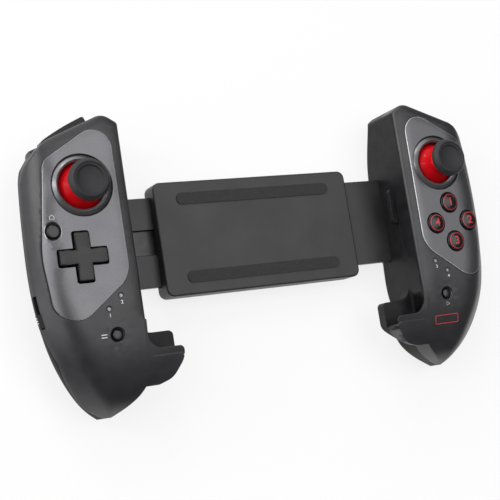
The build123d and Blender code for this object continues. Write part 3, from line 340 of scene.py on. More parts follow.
pad_black = new_finish("dpad_black", (0.010, 0.010, 0.011), 0.34)
vary_colour(pad_black, (0.008, 0.008, 0.009), (0.012, 0.012, 0.013), 4 * mm)
vary_roughness(pad_black, 0.30, 0.38, 6 * mm)
set_socket(pad_black, "Specular IOR Level", 0.35)
add_grain(pad_black, 0.28 * mm, 0.005 * mm)

bridge_black = new_finish("bridge_black", (0.018, 0.018, 0.019), 0.46)
vary_colour(bridge_black, (0.016, 0.016, 0.017), (0.022, 0.022, 0.023), 8 * mm)
vary_roughness(bridge_black, 0.42, 0.50, 16 * mm)
add_grain(bridge_black, 0.40 * mm, 0.014 * mm, edge=0.35 * mm)
print("plastics:", trigger_black.name, button_black.name, pad_black.name, bridge_black.name)

# %% [markdown]
# ### Ribs of the bumpers
# The front edge of each bumper has fine ribs that follow its slope. A wave texture turned by that
# slope gives light and dark stripes, a painted highlight on the crests and painted shade in the
# grooves, and the same wave as a bump gives the grooves between them.

# %% Ribbed plastic
slope_turn = math.radians(21.9)
rib_pitch = 0.792 * mm
rib_depth = 0.25 * mm
wave_bands = 20  # a wave texture of scale 1 turns through this many radians in one unit


def ribbed(name, turn):
    """The bumper's plastic with fine ribs across its front edge, which slopes by turn, their crests
    painted light and grooves painted dark as highlight and shade.
    """
    finish = new_finish(name, (0.012, 0.012, 0.013), 0.34)
    nodes = finish.node_tree.nodes
    links = finish.node_tree.links
    along = nodes.new("ShaderNodeMapping")
    along.inputs["Rotation"].default_value = (0, 0, turn)
    links.new(nodes["place"].outputs["Object"], along.inputs["Vector"])
    ribs = nodes.new("ShaderNodeTexWave")
    ribs.inputs["Scale"].default_value = math.tau / rib_pitch / wave_bands
    links.new(along.outputs["Vector"], ribs.inputs["Vector"])
    # The stripes run from near black to grey: painted shade in the grooves and painted highlight on
    # the crests.
    shades = nodes.new("ShaderNodeValToRGB")
    shades.color_ramp.elements[0].position = 0.25
    shades.color_ramp.elements[0].color = (0.003, 0.003, 0.003, 1)
    shades.color_ramp.elements[1].position = 0.6
    shades.color_ramp.elements[1].color = (0.045, 0.045, 0.047, 1)
    links.new(ribs.outputs["Fac"], shades.inputs["Fac"])
    shader = nodes["Principled BSDF"]
    links.new(shades.outputs["Color"], shader.inputs["Base Color"])
    groove = nodes.new("ShaderNodeBump")
    groove.inputs["Distance"].default_value = rib_depth
    links.new(ribs.outputs["Fac"], groove.inputs["Height"])
    links.new(groove.outputs["Normal"], shader.inputs["Normal"])
    set_socket(finish, "Specular IOR Level", 0.12)
    return finish


rib_finish = {
    "right": ribbed("right_rib_black", slope_turn),
    "left": ribbed("left_rib_black", -slope_turn),
}
print("ribs every", round(rib_pitch / mm, 2), "mm")

# %% Plastic of the inner pieces
inner_black = new_finish("inner_plastic", (0.040, 0.040, 0.040), 0.5)
vary_colour(inner_black, (0.034, 0.034, 0.034), (0.048, 0.048, 0.048), 3 * mm)
add_grain(inner_black, 0.5 * mm, 0.01 * mm)
print("plastic:", inner_black.name)

# %% [markdown]
# ### Satin faceplate
# The faceplates carry a satin coat with fine flakes, so they shine broadly where the room glows and
# go dark where the glow ends. The coat is mostly metal. The plate curves away on its outer side, so
# one plain finish gives the whole gradient. The rounded rim takes a lighter grey, a painted
# highlight.

# %% Faceplate finish
plate_grey = new_finish("faceplate_grey", (0.122, 0.120, 0.128), 0.34)
vary_colour(plate_grey, (0.112, 0.110, 0.118), (0.132, 0.130, 0.138), 0.5 * mm)
vary_roughness(plate_grey, 0.32, 0.37, 12 * mm)
set_socket(plate_grey, "Metallic", 0.85)
add_grain(plate_grey, 0.22 * mm, 0.004 * mm, edge=0.4 * mm)

# A painted highlight: the rim's lighter grey stands in for the light line along the plate's edge.
plate_rim_highlight = new_finish("faceplate_rim_highlight", (0.34, 0.338, 0.35), 0.30)
vary_colour(plate_rim_highlight, (0.30, 0.298, 0.31), (0.38, 0.378, 0.39), 0.5 * mm)
vary_roughness(plate_rim_highlight, 0.26, 0.34, 4 * mm)
set_socket(plate_rim_highlight, "Metallic", 0.9)
print("plate finishes:", plate_grey.name, plate_rim_highlight.name)

# %% [markdown]
# ### Red dome, satin ring and rubber
# The dome under each cap is glossy red plastic with a clear coat. The ring round it is satin,
# turned smooth. The cap is soft rubber: matte, with a sheen that lifts its edges.

# %% Stick finishes
dome_red = new_finish("dome_red", (0.54, 0.004, 0.008), 0.24)
vary_colour(dome_red, (0.50, 0.003, 0.007), (0.58, 0.005, 0.009), 4 * mm)
vary_roughness(dome_red, 0.22, 0.27, 5 * mm)
set_socket(dome_red, "Specular IOR Level", 0.04)
set_socket(dome_red, "Coat Weight", 0.08)
set_socket(dome_red, "Coat Roughness", 0.06)

ring_satin = new_finish("ring_satin", (0.16, 0.16, 0.168), 0.29)
vary_colour(ring_satin, (0.148, 0.148, 0.156), (0.172, 0.172, 0.180), 0.8 * mm)
vary_roughness(ring_satin, 0.27, 0.32, 3 * mm)
set_socket(ring_satin, "Metallic", 0.8)

cap_rubber = new_finish("cap_rubber", (0.016, 0.016, 0.018), 0.56)
vary_colour(cap_rubber, (0.014, 0.014, 0.016), (0.019, 0.019, 0.021), 1.5 * mm)
vary_roughness(cap_rubber, 0.51, 0.61, 3 * mm)
set_socket(cap_rubber, "Specular IOR Level", 0.35)
set_socket(cap_rubber, "Sheen Weight", 0.04)
set_socket(cap_rubber, "Sheen Roughness", 0.4)
add_grain(cap_rubber, 0.45 * mm, 0.012 * mm)
print("stick finishes:", dome_red.name, ring_satin.name, cap_rubber.name)

# %% Rubber of the pads and contacts
pad_rubber = new_finish("pad_rubber", (0.012, 0.012, 0.012), 0.65)
vary_colour(pad_rubber, (0.010, 0.010, 0.010), (0.015, 0.015, 0.015), 2 * mm)
add_grain(pad_rubber, 0.6 * mm, 0.025 * mm)

contact_rubber = new_finish("contact_rubber", (0.35, 0.35, 0.36), 0.65)
vary_colour(contact_rubber, (0.31, 0.31, 0.32), (0.38, 0.38, 0.39), 2 * mm)
add_grain(contact_rubber, 0.6 * mm, 0.02 * mm)
print("rubbers:", pad_rubber.name, contact_rubber.name)

# %% [markdown]
# ### Prints, lamps and the pieces inside
# The marks are thin ink. The lamp lenses are milky. Inside are a lacquered board, a foil-wrapped
# battery, a black film cable and plated steel.

# %% Other finishes
ink_grey = new_finish("ink_grey", (0.62, 0.62, 0.63), 0.5)
vary_colour(ink_grey, (0.55, 0.55, 0.56), (0.66, 0.66, 0.67), 0.4 * mm)
ink_red = new_finish("ink_red", (0.48, 0.03, 0.035), 0.45)
vary_colour(ink_red, (0.42, 0.022, 0.028), (0.54, 0.04, 0.045), 0.4 * mm)

lens_white = new_finish("lens_white", (0.26, 0.26, 0.27), 0.25)
vary_colour(lens_white, (0.23, 0.23, 0.24), (0.29, 0.29, 0.30), 0.8 * mm)
set_socket(lens_white, "Subsurface Weight", 0.3)
set_socket(lens_white, "Subsurface Scale", 0.5 * mm)

board_green = new_finish("board_green", (0.02, 0.14, 0.05), 0.3)
vary_colour(board_green, (0.016, 0.11, 0.04), (0.024, 0.16, 0.06), 1.2 * mm)
add_grain(board_green, 0.8 * mm, 0.01 * mm)

battery_wrap = new_finish("battery_wrap", (0.5, 0.51, 0.53), 0.3)
vary_colour(battery_wrap, (0.44, 0.45, 0.47), (0.56, 0.57, 0.59), 5 * mm)
set_socket(battery_wrap, "Metallic", 0.7)
add_grain(battery_wrap, 3 * mm, 0.06 * mm)

cable_film = new_finish("cable_film", (0.014, 0.014, 0.015), 0.35)
vary_colour(cable_film, (0.012, 0.012, 0.013), (0.018, 0.018, 0.019), 3 * mm)
vary_roughness(cable_film, 0.30, 0.42, 5 * mm)

steel = new_finish("steel", (0.55, 0.55, 0.56), 0.3)
vary_roughness(steel, 0.22, 0.38, 0.8 * mm)
set_socket(steel, "Metallic", 1.0)
add_grain(steel, 0.15 * mm, 0.004 * mm)
print("finishes made:", len(bpy.data.materials) - 1)

# %% [markdown]
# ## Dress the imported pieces
# A piece whose solid is already right keeps its mesh and only takes a finish. The names say which.

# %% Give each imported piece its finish
finish_of = {
    "front_shell": front_black,
    "rear_shell": rear_and_shade_black,
    "faceplate": plate_grey,
    "stick_ring": ring_satin,
    "stick_housing": inner_black,
    "stick_yoke": inner_black,
    "stick_shaft": steel,
    "stick_dome": dome_red,
    "stick_cap": cap_rubber,
    "circuit_board": board_green,
    "contact_sheet": contact_rubber,
    "led_lenses": lens_white,
    "case_screws": steel,
    "retaining_tab": trigger_black,
    "bumper": trigger_black,
    "trigger": trigger_black,
    "shoulder_pins": steel,
    "trigger_spring": steel,
    "arm": bridge_black,
    "tension_springs": steel,
    "button": button_black,
    "dpad": pad_black,
    "dpad_pivot": inner_black,
    "dpad_post": inner_black,
    "mode_switch_knob": rear_and_shade_black,
    "mode_switch_body": inner_black,
    "usb_port": steel,
    "battery": battery_wrap,
    "bridge_rear_cover": bridge_black,
    "bridge_front_cover": bridge_black,
    "bridge_screws": steel,
    "bridge_pads": pad_rubber,
    "link_cable": cable_film,
}


def kind_of(node):
    """The node's name without its side, or the last word of a button's name."""
    if node in finish_of:
        return node
    if node.endswith("_button"):
        return "button"
    return node.split("_", 1)[1]


for name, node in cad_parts.items():
    node.data.materials.clear()
    node.data.materials.append(finish_of[kind_of(name)])
print("dressed", len(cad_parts), "packed pieces")

# %% [markdown]
# ## Tools for new pieces
# A round piece is a profile spun about its axis. Its rings of sharp edges are then rounded with a
# bevel, because real moulded edges always catch a thin line of light.

# %% Helpers that make and place a piece
soft_angle = math.radians(35)


def middle(node):
    """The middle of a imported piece's box."""
    low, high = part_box(node)
    return (low + high) / 2


def dressed(name, shape, finish):
    """Turn a bmesh into a piece with its finish."""
    mesh = bpy.data.meshes.new(name)
    shape.to_mesh(mesh)
    shape.free()
    mesh.shade_smooth()
    mesh.set_sharp_from_angle(angle=soft_angle)
    mesh.materials.append(finish)
    piece = bpy.data.objects.new(name, mesh)
    scene.collection.objects.link(piece)
    return piece


def finished(name, shape, body, finish):
    """Turn a bmesh into a piece that rides on a body."""
    piece = dressed(name, shape, finish)
    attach(piece, body)
    return piece


def round_sharp_edges(shape, radius, least=math.radians(25)):
    """Bevel every edge that turns by more than the least angle."""
    sharp = [edge for edge in shape.edges if edge.is_manifold and edge.calc_face_angle() > least]
    bmesh.ops.bevel(
        shape, geom=sharp, offset=radius, segments=3, profile=0.5, affect="EDGES", material=-1,
        clamp_overlap=True,
    )


def turned(profile, centre, edge=0.0, steps=96):
    """A round solid: radius and height pairs spun about an upright axis through centre."""
    shape = bmesh.new()
    corners = [shape.verts.new((radius, 0, height)) for radius, height in profile]
    for start, end in zip(corners, corners[1:]):
        shape.edges.new((start, end))
    bmesh.ops.spin(
        shape, geom=shape.verts[:] + shape.edges[:], cent=(0, 0, 0), axis=(0, 0, 1),
        angle=math.tau, steps=steps, use_merge=True,
    )
    bmesh.ops.remove_doubles(shape, verts=shape.verts, dist=0.001 * mm)
    bmesh.ops.recalc_face_normals(shape, faces=shape.faces)
    if edge:
        round_sharp_edges(shape, edge)
    bmesh.ops.translate(shape, verts=shape.verts, vec=(centre[0], centre[1], 0))
    return shape


# %% [markdown]
# ## Shells and plates with soft shading
# The front of each grip is one crowned form, cut by the plate, the buttons and the stick. A copy of
# each shell and plate is joined up and cut finer, the plate's rim is rounded, and its front takes
# the mean direction of the form around each point. The shine then runs across the joints without a
# break. The inner side of each grip gets the darker black of the rear shell as painted shade.

# %% Helpers for soft shading
soft_reach = 7.5 * mm
rings_of_rays = ((0.4, 6), (0.75, 8), (1.0, 10))  # share of the reach, and rays on that ring
near_weight = 1.2
ray_start = 8 * mm
same_surface = 4.0 * mm
least_slope = 0.2
soft_from = 0.8
soft_full = 0.94
least_sum = 2.0
front_facing = 0.6
merge_distance = 0.002 * mm


def merged_copy(name):
    """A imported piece's mesh with its loose triangles joined up."""
    shape = bmesh.new()
    shape.from_mesh(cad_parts[name].data)
    bmesh.ops.remove_doubles(shape, verts=shape.verts, dist=merge_distance)
    return shape


def cut_front_finer(shape, longest):
    """Split the long edges of the faces that look to the front."""
    for _ in range(6):
        front = [face for face in shape.faces if face.normal.z > front_facing]
        long_edges = {edge for face in front for edge in face.edges if edge.calc_length() > longest}
        if not long_edges:
            break
        bmesh.ops.subdivide_edges(shape, edges=list(long_edges), cuts=1)
        bmesh.ops.triangulate(shape, faces=shape.faces)


def mean_direction(form, place):
    """The mean normal of a form around a place, as seen from the front."""
    total = Vector((0, 0, 0))
    above = place.z + ray_start
    for share, count in rings_of_rays:
        for n in range(count):
            turn = math.tau * n / count
            aside = Vector((math.cos(turn), math.sin(turn), 0)) * soft_reach * share
            start = Vector((place.x, place.y, above)) + aside
            hit, normal, _, _ = form.ray_cast(start, Vector((0, 0, -1)))
            if hit and normal.z > least_slope and abs(hit.z - place.z) < same_surface:
                total += normal * (near_weight - share)
    return total


def soften(piece, form):
    """Blend the front's corner normals towards the form's mean direction."""
    mesh = piece.data
    corner_normals = [Vector(corner.vector) for corner in mesh.corner_normals]
    means = {}
    for face in mesh.polygons:
        if face.normal.z < soft_from:
            continue
        share = min(1.0, (face.normal.z - soft_from) / (soft_full - soft_from))
        for corner in face.loop_indices:
            point = mesh.loops[corner].vertex_index
            if point not in means:
                means[point] = mean_direction(form, mesh.vertices[point].co)
            if means[point].length > least_sum:
                mixed = corner_normals[corner].lerp(means[point].normalized(), share)
                corner_normals[corner] = mixed.normalized()
    mesh.normals_split_custom_set(corner_normals)


# %% Soft shells
shell_cut = 2.5 * mm
shade_side_facing = 0.9


def form_of(side):
    """A search tree over the whole crowned front of a grip."""
    shape = merged_copy(f"{side}_front_shell")
    shape.from_mesh(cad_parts[f"{side}_faceplate"].data)
    form = BVHTree.FromBMesh(shape)
    shape.free()
    return form


def soft_shell(side, form):
    """The front shell, soft on its front, with painted shade: its inner side takes the darker black.
    """
    shape = merged_copy(f"{side}_front_shell")
    cut_front_finer(shape, shell_cut)
    inward = -1 if side == "right" else 1
    # Faces that look inwards take the darker black, as painted shade on the inner wall.
    for face in shape.faces:
        face.material_index = 1 if face.normal.x * inward > shade_side_facing else 0
    shell = finished(f"{side}_soft_shell", shape, f"{side}_grip", front_black)
    shell.data.materials.append(rear_and_shade_black)
    soften(shell, form)
    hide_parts(f"{side}_front_shell")
    return shell


# %% Satin plates
plate_cut = 2.0 * mm
rim_radius = 0.4 * mm
rim_facing = 0.5
rim_angle = 1.0  # radians
control_margin = 1 * mm
controls_of = {
    "left": ("left_stick_ring", "dpad"),
    "right": ("right_stick_ring", "top_button", "right_button", "bottom_button", "left_button"),
}


def circle_round(name):
    """The middle of a control and a radius that clears it by a margin."""
    low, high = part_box(name)
    return (low + high) / 2, (high.x - low.x) / 2 + control_margin


def is_rim(edge):
    """Whether an edge is sharp and borders the plate's front."""
    if not edge.is_manifold or edge.calc_face_angle() <= rim_angle:
        return False
    return max(face.normal.z for face in edge.link_faces) > rim_facing


def satin_plate(side, form):
    """The faceplate with a rounded rim, painted a brighter grey as a highlight except round the
    controls.
    """
    shape = merged_copy(f"{side}_faceplate")
    rounded = bmesh.ops.bevel(
        shape, geom=[edge for edge in shape.edges if is_rim(edge)], offset=rim_radius, segments=3,
        profile=0.5, affect="EDGES", material=-1, clamp_overlap=True,
    )
    circles = [circle_round(name) for name in controls_of[side]]
    for face in rounded["faces"]:
        place = face.calc_center_median()
        clear = [math.hypot(place.x - c.x, place.y - c.y) > radius for c, radius in circles]
        # Rim faces clear of the controls take the painted highlight.
        face.material_index = 1 if all(clear) else 0
    bmesh.ops.triangulate(shape, faces=shape.faces)
    cut_front_finer(shape, plate_cut)
    plate = finished(f"{side}_satin_plate", shape, f"{side}_grip", plate_grey)
    plate.data.materials.append(plate_rim_highlight)
    soften(plate, form)
    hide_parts(f"{side}_faceplate")
    return plate


# %% Soften both grips
for side in ("left", "right"):
    form = form_of(side)
    for piece in (soft_shell(side, form), satin_plate(side, form)):
        print(piece.name, len(piece.data.polygons), "faces")

# %% Ribbed bumpers
rib_facing = 0.7

for side in ("left", "right"):
    node = f"{side}_bumper"
    bumper_shape = merged_copy(node)
    for face in bumper_shape.faces:
        face.material_index = 1 if face.normal.z > rib_facing else 0
    bumper = finished(f"{side}_ribbed_bumper", bumper_shape, node, trigger_black)
    bumper.data.materials.append(rib_finish[side])
    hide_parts(node)
    print(bumper.name, len(bumper.data.polygons), "faces")

# %% Ridges on the mode switch
ridge_size = (0.4 * mm, 0.55 * mm, 1.7 * mm)
ridge_step = 1.15 * mm
ridge_shift = 0.6 * mm
ridge_edge = 0.15 * mm
switch_turn = math.radians(9.5)
knob_length = 6.6 * mm

low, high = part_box("mode_switch_knob")
centre = (low + high) / 2
depth = (high.x - low.x - knob_length * math.sin(switch_turn)) / math.cos(switch_turn)
ridges = bmesh.new()
for step in (-1, 0, 1):
    ridge = bmesh.ops.create_cube(ridges, size=1)["verts"]
    bmesh.ops.scale(ridges, verts=ridge, vec=ridge_size)
    bmesh.ops.translate(ridges, verts=ridge, vec=(-depth / 2, step * ridge_step + ridge_shift, 0))
round_sharp_edges(ridges, ridge_edge)
bmesh.ops.rotate(
    ridges, verts=ridges.verts, cent=(0, 0, 0), matrix=Matrix.Rotation(switch_turn, 3, "Z")
)
bmesh.ops.translate(ridges, verts=ridges.verts, vec=centre)
knob_ridges = finished("switch_ridges", ridges, "mode_switch", ink_grey)
print(knob_ridges.name, len(knob_ridges.data.polygons), "faces")

# %% [markdown]
# ## Springs and cable between the halves
# Inside the bridge two long springs pull each arm home, and a film cable joins the two circuit
# boards. Each side has its own pair of springs, which runs between the bridge and its grip.
# A coil is a small circle that spins round the spring's axis while it moves along it.
# The cable is cut in the middle of the bridge, into one half for each side.

# %% Coil springs
coil_radius = 1.0 * mm
wire_radius = 0.28 * mm
coil_pitch = 1.2 * mm
steps_per_turn = 12


def coil(start, length):
    """A coil spring that runs along X from start."""
    shape = bmesh.new()
    wire = bmesh.ops.create_circle(shape, segments=6, radius=wire_radius)["verts"]
    upright = Matrix.Rotation(math.radians(90), 3, "X")
    bmesh.ops.rotate(shape, verts=wire, cent=(0, 0, 0), matrix=upright)
    bmesh.ops.translate(shape, verts=wire, vec=start + Vector((wire_radius, 0, coil_radius)))
    travel = length - 2 * wire_radius
    turns = round(travel / coil_pitch)
    steps = turns * steps_per_turn
    bmesh.ops.spin(
        shape, geom=shape.verts[:] + shape.edges[:], cent=start, axis=(1, 0, 0),
        angle=math.tau * turns, steps=steps, dvec=(travel / steps, 0, 0), use_merge=False,
    )
    bmesh.ops.holes_fill(shape, edges=[edge for edge in shape.edges if edge.is_boundary], sides=6)
    bmesh.ops.recalc_face_normals(shape, faces=shape.faces)
    return shape


for side, outwards in (("left", -1), ("right", 1)):
    low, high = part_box(f"{side}_tension_springs")
    spring_radius = (high.z - low.z) / 2
    pair = coil(Vector((low.x, low.y + spring_radius, low.z + spring_radius)), high.x - low.x)
    twin = bmesh.ops.duplicate(pair, geom=pair.verts[:] + pair.edges[:] + pair.faces[:])["geom"]
    bmesh.ops.translate(
        pair, verts=[item for item in twin if isinstance(item, bmesh.types.BMVert)],
        vec=(0, high.y - low.y - 2 * spring_radius, 0),
    )
    springs = dressed(f"{side}_coil_springs", pair, steel)
    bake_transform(springs)
    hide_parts(f"{side}_tension_springs")
    print(springs.name, len(springs.data.polygons), "faces")

for side, outwards in (("left", -1), ("right", 1)):
    half = merged_copy("link_cable")
    bmesh.ops.bisect_plane(
        half, geom=half.verts[:] + half.edges[:] + half.faces[:], plane_co=(0, 0, 0),
        plane_no=(outwards, 0, 0), clear_inner=True,
    )
    bmesh.ops.holes_fill(half, edges=[edge for edge in half.edges if edge.is_boundary], sides=0)
    film = dressed(f"{side}_film_cable", half, cable_film)
    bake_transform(film)
    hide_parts("link_cable")
    print(film.name, len(film.data.polygons), "faces")

# %% [markdown]
# ## Thumb sticks
# The cap has a sloping shoulder, a narrow groove and a shallow dish for the thumb. Under it is a
# red dome, part of a ball about the stick's pivot, so it fills the ring at every tilt.

# %% Caps
cap_radius = 9.9 * mm
cap_height = 6.0 * mm
cap_edge = 0.1 * mm
stem_clear = 4.05 * mm
stem_sink = 3.0 * mm
stem_gap = 0.05 * mm


def cap_profile(top):
    """From the middle of the dish outwards, round the rim and back under to the stem."""
    dish = [(6.3 * mm * n / 6, top - 1.85 * mm + 0.75 * mm * (n / 6) ** 2) for n in range(7)]
    rim = [
        (6.42 * mm, top - 0.45 * mm),
        (7.35 * mm, top - 0.28 * mm),
        (7.5 * mm, top - 0.42 * mm),
        (7.75 * mm, top),
        (8.4 * mm, top - 0.12 * mm),
        (9.35 * mm, top - 0.95 * mm),
        (cap_radius, top - 2.1 * mm),
        (cap_radius, top - 3.4 * mm),
        (8.7 * mm, top - 5.2 * mm),
        (6.9 * mm, top - cap_height),
        (stem_clear, top - cap_height),
        (stem_clear, top - stem_sink + stem_gap),
        (0, top - stem_sink + stem_gap),
    ]
    return dish + rim


for side in ("left", "right"):
    centre = middle(f"{side}_stick_cap")
    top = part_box(f"{side}_stick_cap")[1].z
    cap = finished(
        f"{side}_grip_cap", turned(cap_profile(top), centre, cap_edge), f"{side}_stick_top",
        cap_rubber,
    )
    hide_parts(f"{side}_stick_cap")
    print(cap.name, len(cap.data.polygons), "faces")

# %% Domes
dome_radius = 13.0 * mm
dome_wall = 1.4 * mm
dome_skirt = math.radians(80)
dome_steps = 24
stem_radius = 4.0 * mm
stem_foot = 0.6 * mm
stem_flare = 0.9 * mm


def dome_profile(pivot, stem_top):
    """Down the outside of the ball to its skirt, then back up inside to the axis."""
    start = math.asin((stem_radius + stem_foot) / dome_radius)
    turns = [start + (dome_skirt - start) * n / dome_steps for n in range(dome_steps + 1)]
    outside = [(dome_radius * math.sin(a), pivot + dome_radius * math.cos(a)) for a in turns]
    inner = dome_radius - dome_wall
    inside = [(inner * math.sin(a), pivot + inner * math.cos(a)) for a in reversed(turns)]
    stem = [(0, stem_top), (stem_radius, stem_top), (stem_radius, outside[0][1] + stem_flare)]
    return stem + outside + inside + [(0, pivot + inner)]


for side in ("left", "right"):
    low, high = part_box(f"{side}_stick_dome")
    pivot = low.z - dome_radius * math.cos(dome_skirt) + dome_wall * math.cos(dome_skirt)
    centre = middle(f"{side}_stick_dome")
    dome = finished(
        f"{side}_red_dome", turned(dome_profile(pivot, high.z), centre, steps=128),
        f"{side}_stick_top", dome_red,
    )
    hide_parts(f"{side}_stick_dome")
    print(dome.name, "pivots at", round(pivot / mm, 2), "mm")

# %% [markdown]
# ### The ring
# The ring rises from the plate in a broad satin slope to a crest. Inside the crest are a fine
# groove and a short lip that falls to the opening.

# %% Rings
ring_radius = 14.7 * mm
ring_flange = 16.2 * mm
ring_opening = 11.3 * mm
ring_edge = 0.08 * mm


def ring_profile(bottom, top):
    """A closed section, from the opening's lip outwards."""
    return [
        (ring_opening, top - 0.95 * mm),
        (ring_opening + 0.55 * mm, top - 0.35 * mm),
        (ring_opening + 0.65 * mm, top - 0.6 * mm),
        (ring_opening + 0.8 * mm, top - 0.6 * mm),
        (ring_opening + 0.9 * mm, top - 0.1 * mm),
        (ring_opening + 1.15 * mm, top),
        (ring_radius - 0.25 * mm, top - 1.25 * mm),
        (ring_radius, top - 1.5 * mm),
        (ring_radius, bottom + 1.2 * mm),
        (ring_flange, bottom + 1.2 * mm),
        (ring_flange, bottom),
        (ring_opening, bottom),
        (ring_opening, top - 0.95 * mm),
    ]


for side in ("left", "right"):
    low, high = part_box(f"{side}_stick_ring")
    ring = finished(
        f"{side}_satin_ring",
        turned(ring_profile(low.z, high.z), middle(f"{side}_stick_ring"), ring_edge, steps=128),
        f"{side}_grip", ring_satin,
    )
    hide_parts(f"{side}_stick_ring")
print("rings made")

# %% [markdown]
# ## Buttons
# The face buttons are polished domes on straight walls. Each has the flange and the stem that the
# shell holds, so it stays the same piece from below. The ceiling is the height under which a flange
# runs.

# %% Face buttons
flange_reach = 1.05 * mm
flange_depth = 1.2 * mm
dome_sag = 1.15 * mm
key_shoulder = 0.5 * mm
key_edge = 0.05 * mm


def button_profile(radius, low, top, flange, sag, shoulder):
    """A domed cap on a straight wall, with the flange and stem that the shell holds."""
    ball = (radius**2 + sag**2) / (2 * sag)
    dome = []
    for n in range(11):
        out = (radius - shoulder) * n / 10
        dome.append((out, top - ball + math.sqrt(ball**2 - out**2)))
    edge_height = dome[-1][1]
    return dome + [
        (radius - 0.35 * shoulder, edge_height - 0.4 * shoulder),
        (radius, edge_height - 1.1 * shoulder),
        (radius, flange),
        (radius + flange_reach, flange),
        (radius + flange_reach, flange - flange_depth),
        (0.3 * radius, flange - flange_depth),
        (0.3 * radius, low),
        (0, low),
    ]


running_gap = 0.3 * mm
ceilings = {"top": 35.0 * mm, "right": 29.9 * mm, "bottom": 35.0 * mm, "left": 35.0 * mm}
button_faces = {}
for name in ("top", "right", "bottom", "left"):
    node = f"{name}_button"
    low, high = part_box(node)
    radius = (high.x - low.x) / 2 - flange_reach
    flange = ceilings[name] - running_gap
    profile = button_profile(radius, low.z, high.z, flange, dome_sag, key_shoulder)
    button = finished(
        f"{name}_key", turned(profile, middle(node), key_edge), node, button_black
    )
    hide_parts(node)
    button_faces[name] = button
    print(button.name, "radius", round(radius / mm, 2), "mm")

# %% Home, select and start buttons
small_ceilings = {"home_button": 30.7 * mm, "select_button": 33.4 * mm, "start_button": 33.4 * mm}
small_sag = 0.3 * mm
small_shoulder = 0.3 * mm
small_edge = 0.04 * mm
for node, ceiling in small_ceilings.items():
    low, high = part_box(node)
    radius = (high.x - low.x) / 2 - flange_reach
    flange = ceiling - running_gap
    profile = button_profile(radius, low.z, high.z, flange, small_sag, small_shoulder)
    small_key = finished(
        f"{node}_key", turned(profile, middle(node), small_edge, steps=64), node, button_black,
    )
    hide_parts(node)
print("small buttons made")

# %% [markdown]
# ## Direction pad
# The pad starts as one square. Its four edges are extruded into arms, the whole face is extruded
# down, and the outline is bevelled. A shallow dish in the middle guides the thumb.

# %% Direction pad
pad_arm = 6.9 * mm
cross_foot = 8.0 * mm  # the cross's underside, above the pad's lowest point
pad_corner = 0.8 * mm
pad_edge = 0.65 * mm
dish_depth = 0.35 * mm
dish_band = 0.05 * mm
dish_cut = 2 * mm


def cross_shape(half, arm, low, top, corner, edge):
    """A cross between two heights, about the origin."""
    shape = bmesh.new()
    bmesh.ops.create_grid(shape, x_segments=1, y_segments=1, size=arm / 2)
    for border in shape.edges[:]:
        outwards = (border.verts[0].co + border.verts[1].co).normalized()
        grown = bmesh.ops.extrude_edge_only(shape, edges=[border])
        tips = [item for item in grown["geom"] if isinstance(item, bmesh.types.BMVert)]
        bmesh.ops.translate(shape, verts=tips, vec=outwards * (half - arm / 2))
    bmesh.ops.translate(shape, verts=shape.verts, vec=(0, 0, low))
    upper = bmesh.ops.extrude_face_region(shape, geom=shape.faces[:])
    raised = [item for item in upper["geom"] if isinstance(item, bmesh.types.BMVert)]
    bmesh.ops.translate(shape, verts=raised, vec=(0, 0, top - low))
    bmesh.ops.recalc_face_normals(shape, faces=shape.faces)
    posts = [
        side for side in shape.edges
        if abs(side.verts[0].co.z - side.verts[1].co.z) > edge
        and max(abs(side.verts[0].co.x), abs(side.verts[0].co.y)) > half - edge
    ]
    bmesh.ops.bevel(
        shape, geom=posts, offset=corner, segments=4, profile=0.5, affect="EDGES", material=-1
    )
    rim = [
        side for side in shape.edges
        if side.is_manifold and side.calc_face_angle() > soft_angle
        and min(side.verts[0].co.z, side.verts[1].co.z) > top - edge / 10
    ]
    bmesh.ops.bevel(
        shape, geom=rim, offset=edge, segments=4, profile=0.5, affect="EDGES", material=-1
    )
    return shape


low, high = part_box("dpad")
pad_half = (high.x - low.x) / 2
pad_shape = cross_shape(pad_half, pad_arm, low.z + cross_foot, high.z, pad_corner, pad_edge)
bmesh.ops.subdivide_edges(
    pad_shape,
    edges=[side for side in pad_shape.edges if side.calc_length() > dish_cut],
    cuts=8,
    use_grid_fill=True,
)
for corner in pad_shape.verts:
    reach = math.hypot(corner.co.x, corner.co.y) / pad_half
    if corner.co.z > high.z - dish_band:
        corner.co.z -= dish_depth * max(0.0, 1 - reach**2)
centre = middle("dpad")
bmesh.ops.translate(pad_shape, verts=pad_shape.verts, vec=(centre.x, centre.y, 0))
direction_pad = finished("direction_pad", pad_shape, "dpad", pad_black)
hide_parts("dpad")
print("direction pad", len(direction_pad.data.polygons), "faces")

# %% [markdown]
# ## Printed marks
# Each mark is a flat shape made a mesh, moved over its place, and dropped on the surface below. The
# numbers count the lamps and the face buttons. A little house, a triangle and two bars mark the
# three small buttons.

# %% Helpers for ink
ink_lift = 0.02 * mm
ink_depth = 0.03 * mm
ink_cut = 0.7 * mm
ink_weight = 0.016  # how far a number's outline is fattened, as a share of its size
above_all = 0.2


def surface_of(piece):
    """A search tree over a piece's faces."""
    shape = bmesh.new()
    shape.from_mesh(piece.data)
    tree = BVHTree.FromBMesh(shape)
    shape.free()
    return tree


def dropped(mesh, tree, fallback):
    """Drop every point along Z onto the surface, keeping the ink's own depth."""
    for point in mesh.vertices:
        hit = tree.ray_cast(Vector((point.co.x, point.co.y, above_all)), Vector((0, 0, -1)))[0]
        height = hit.z if hit else fallback
        point.co.z += height + ink_lift


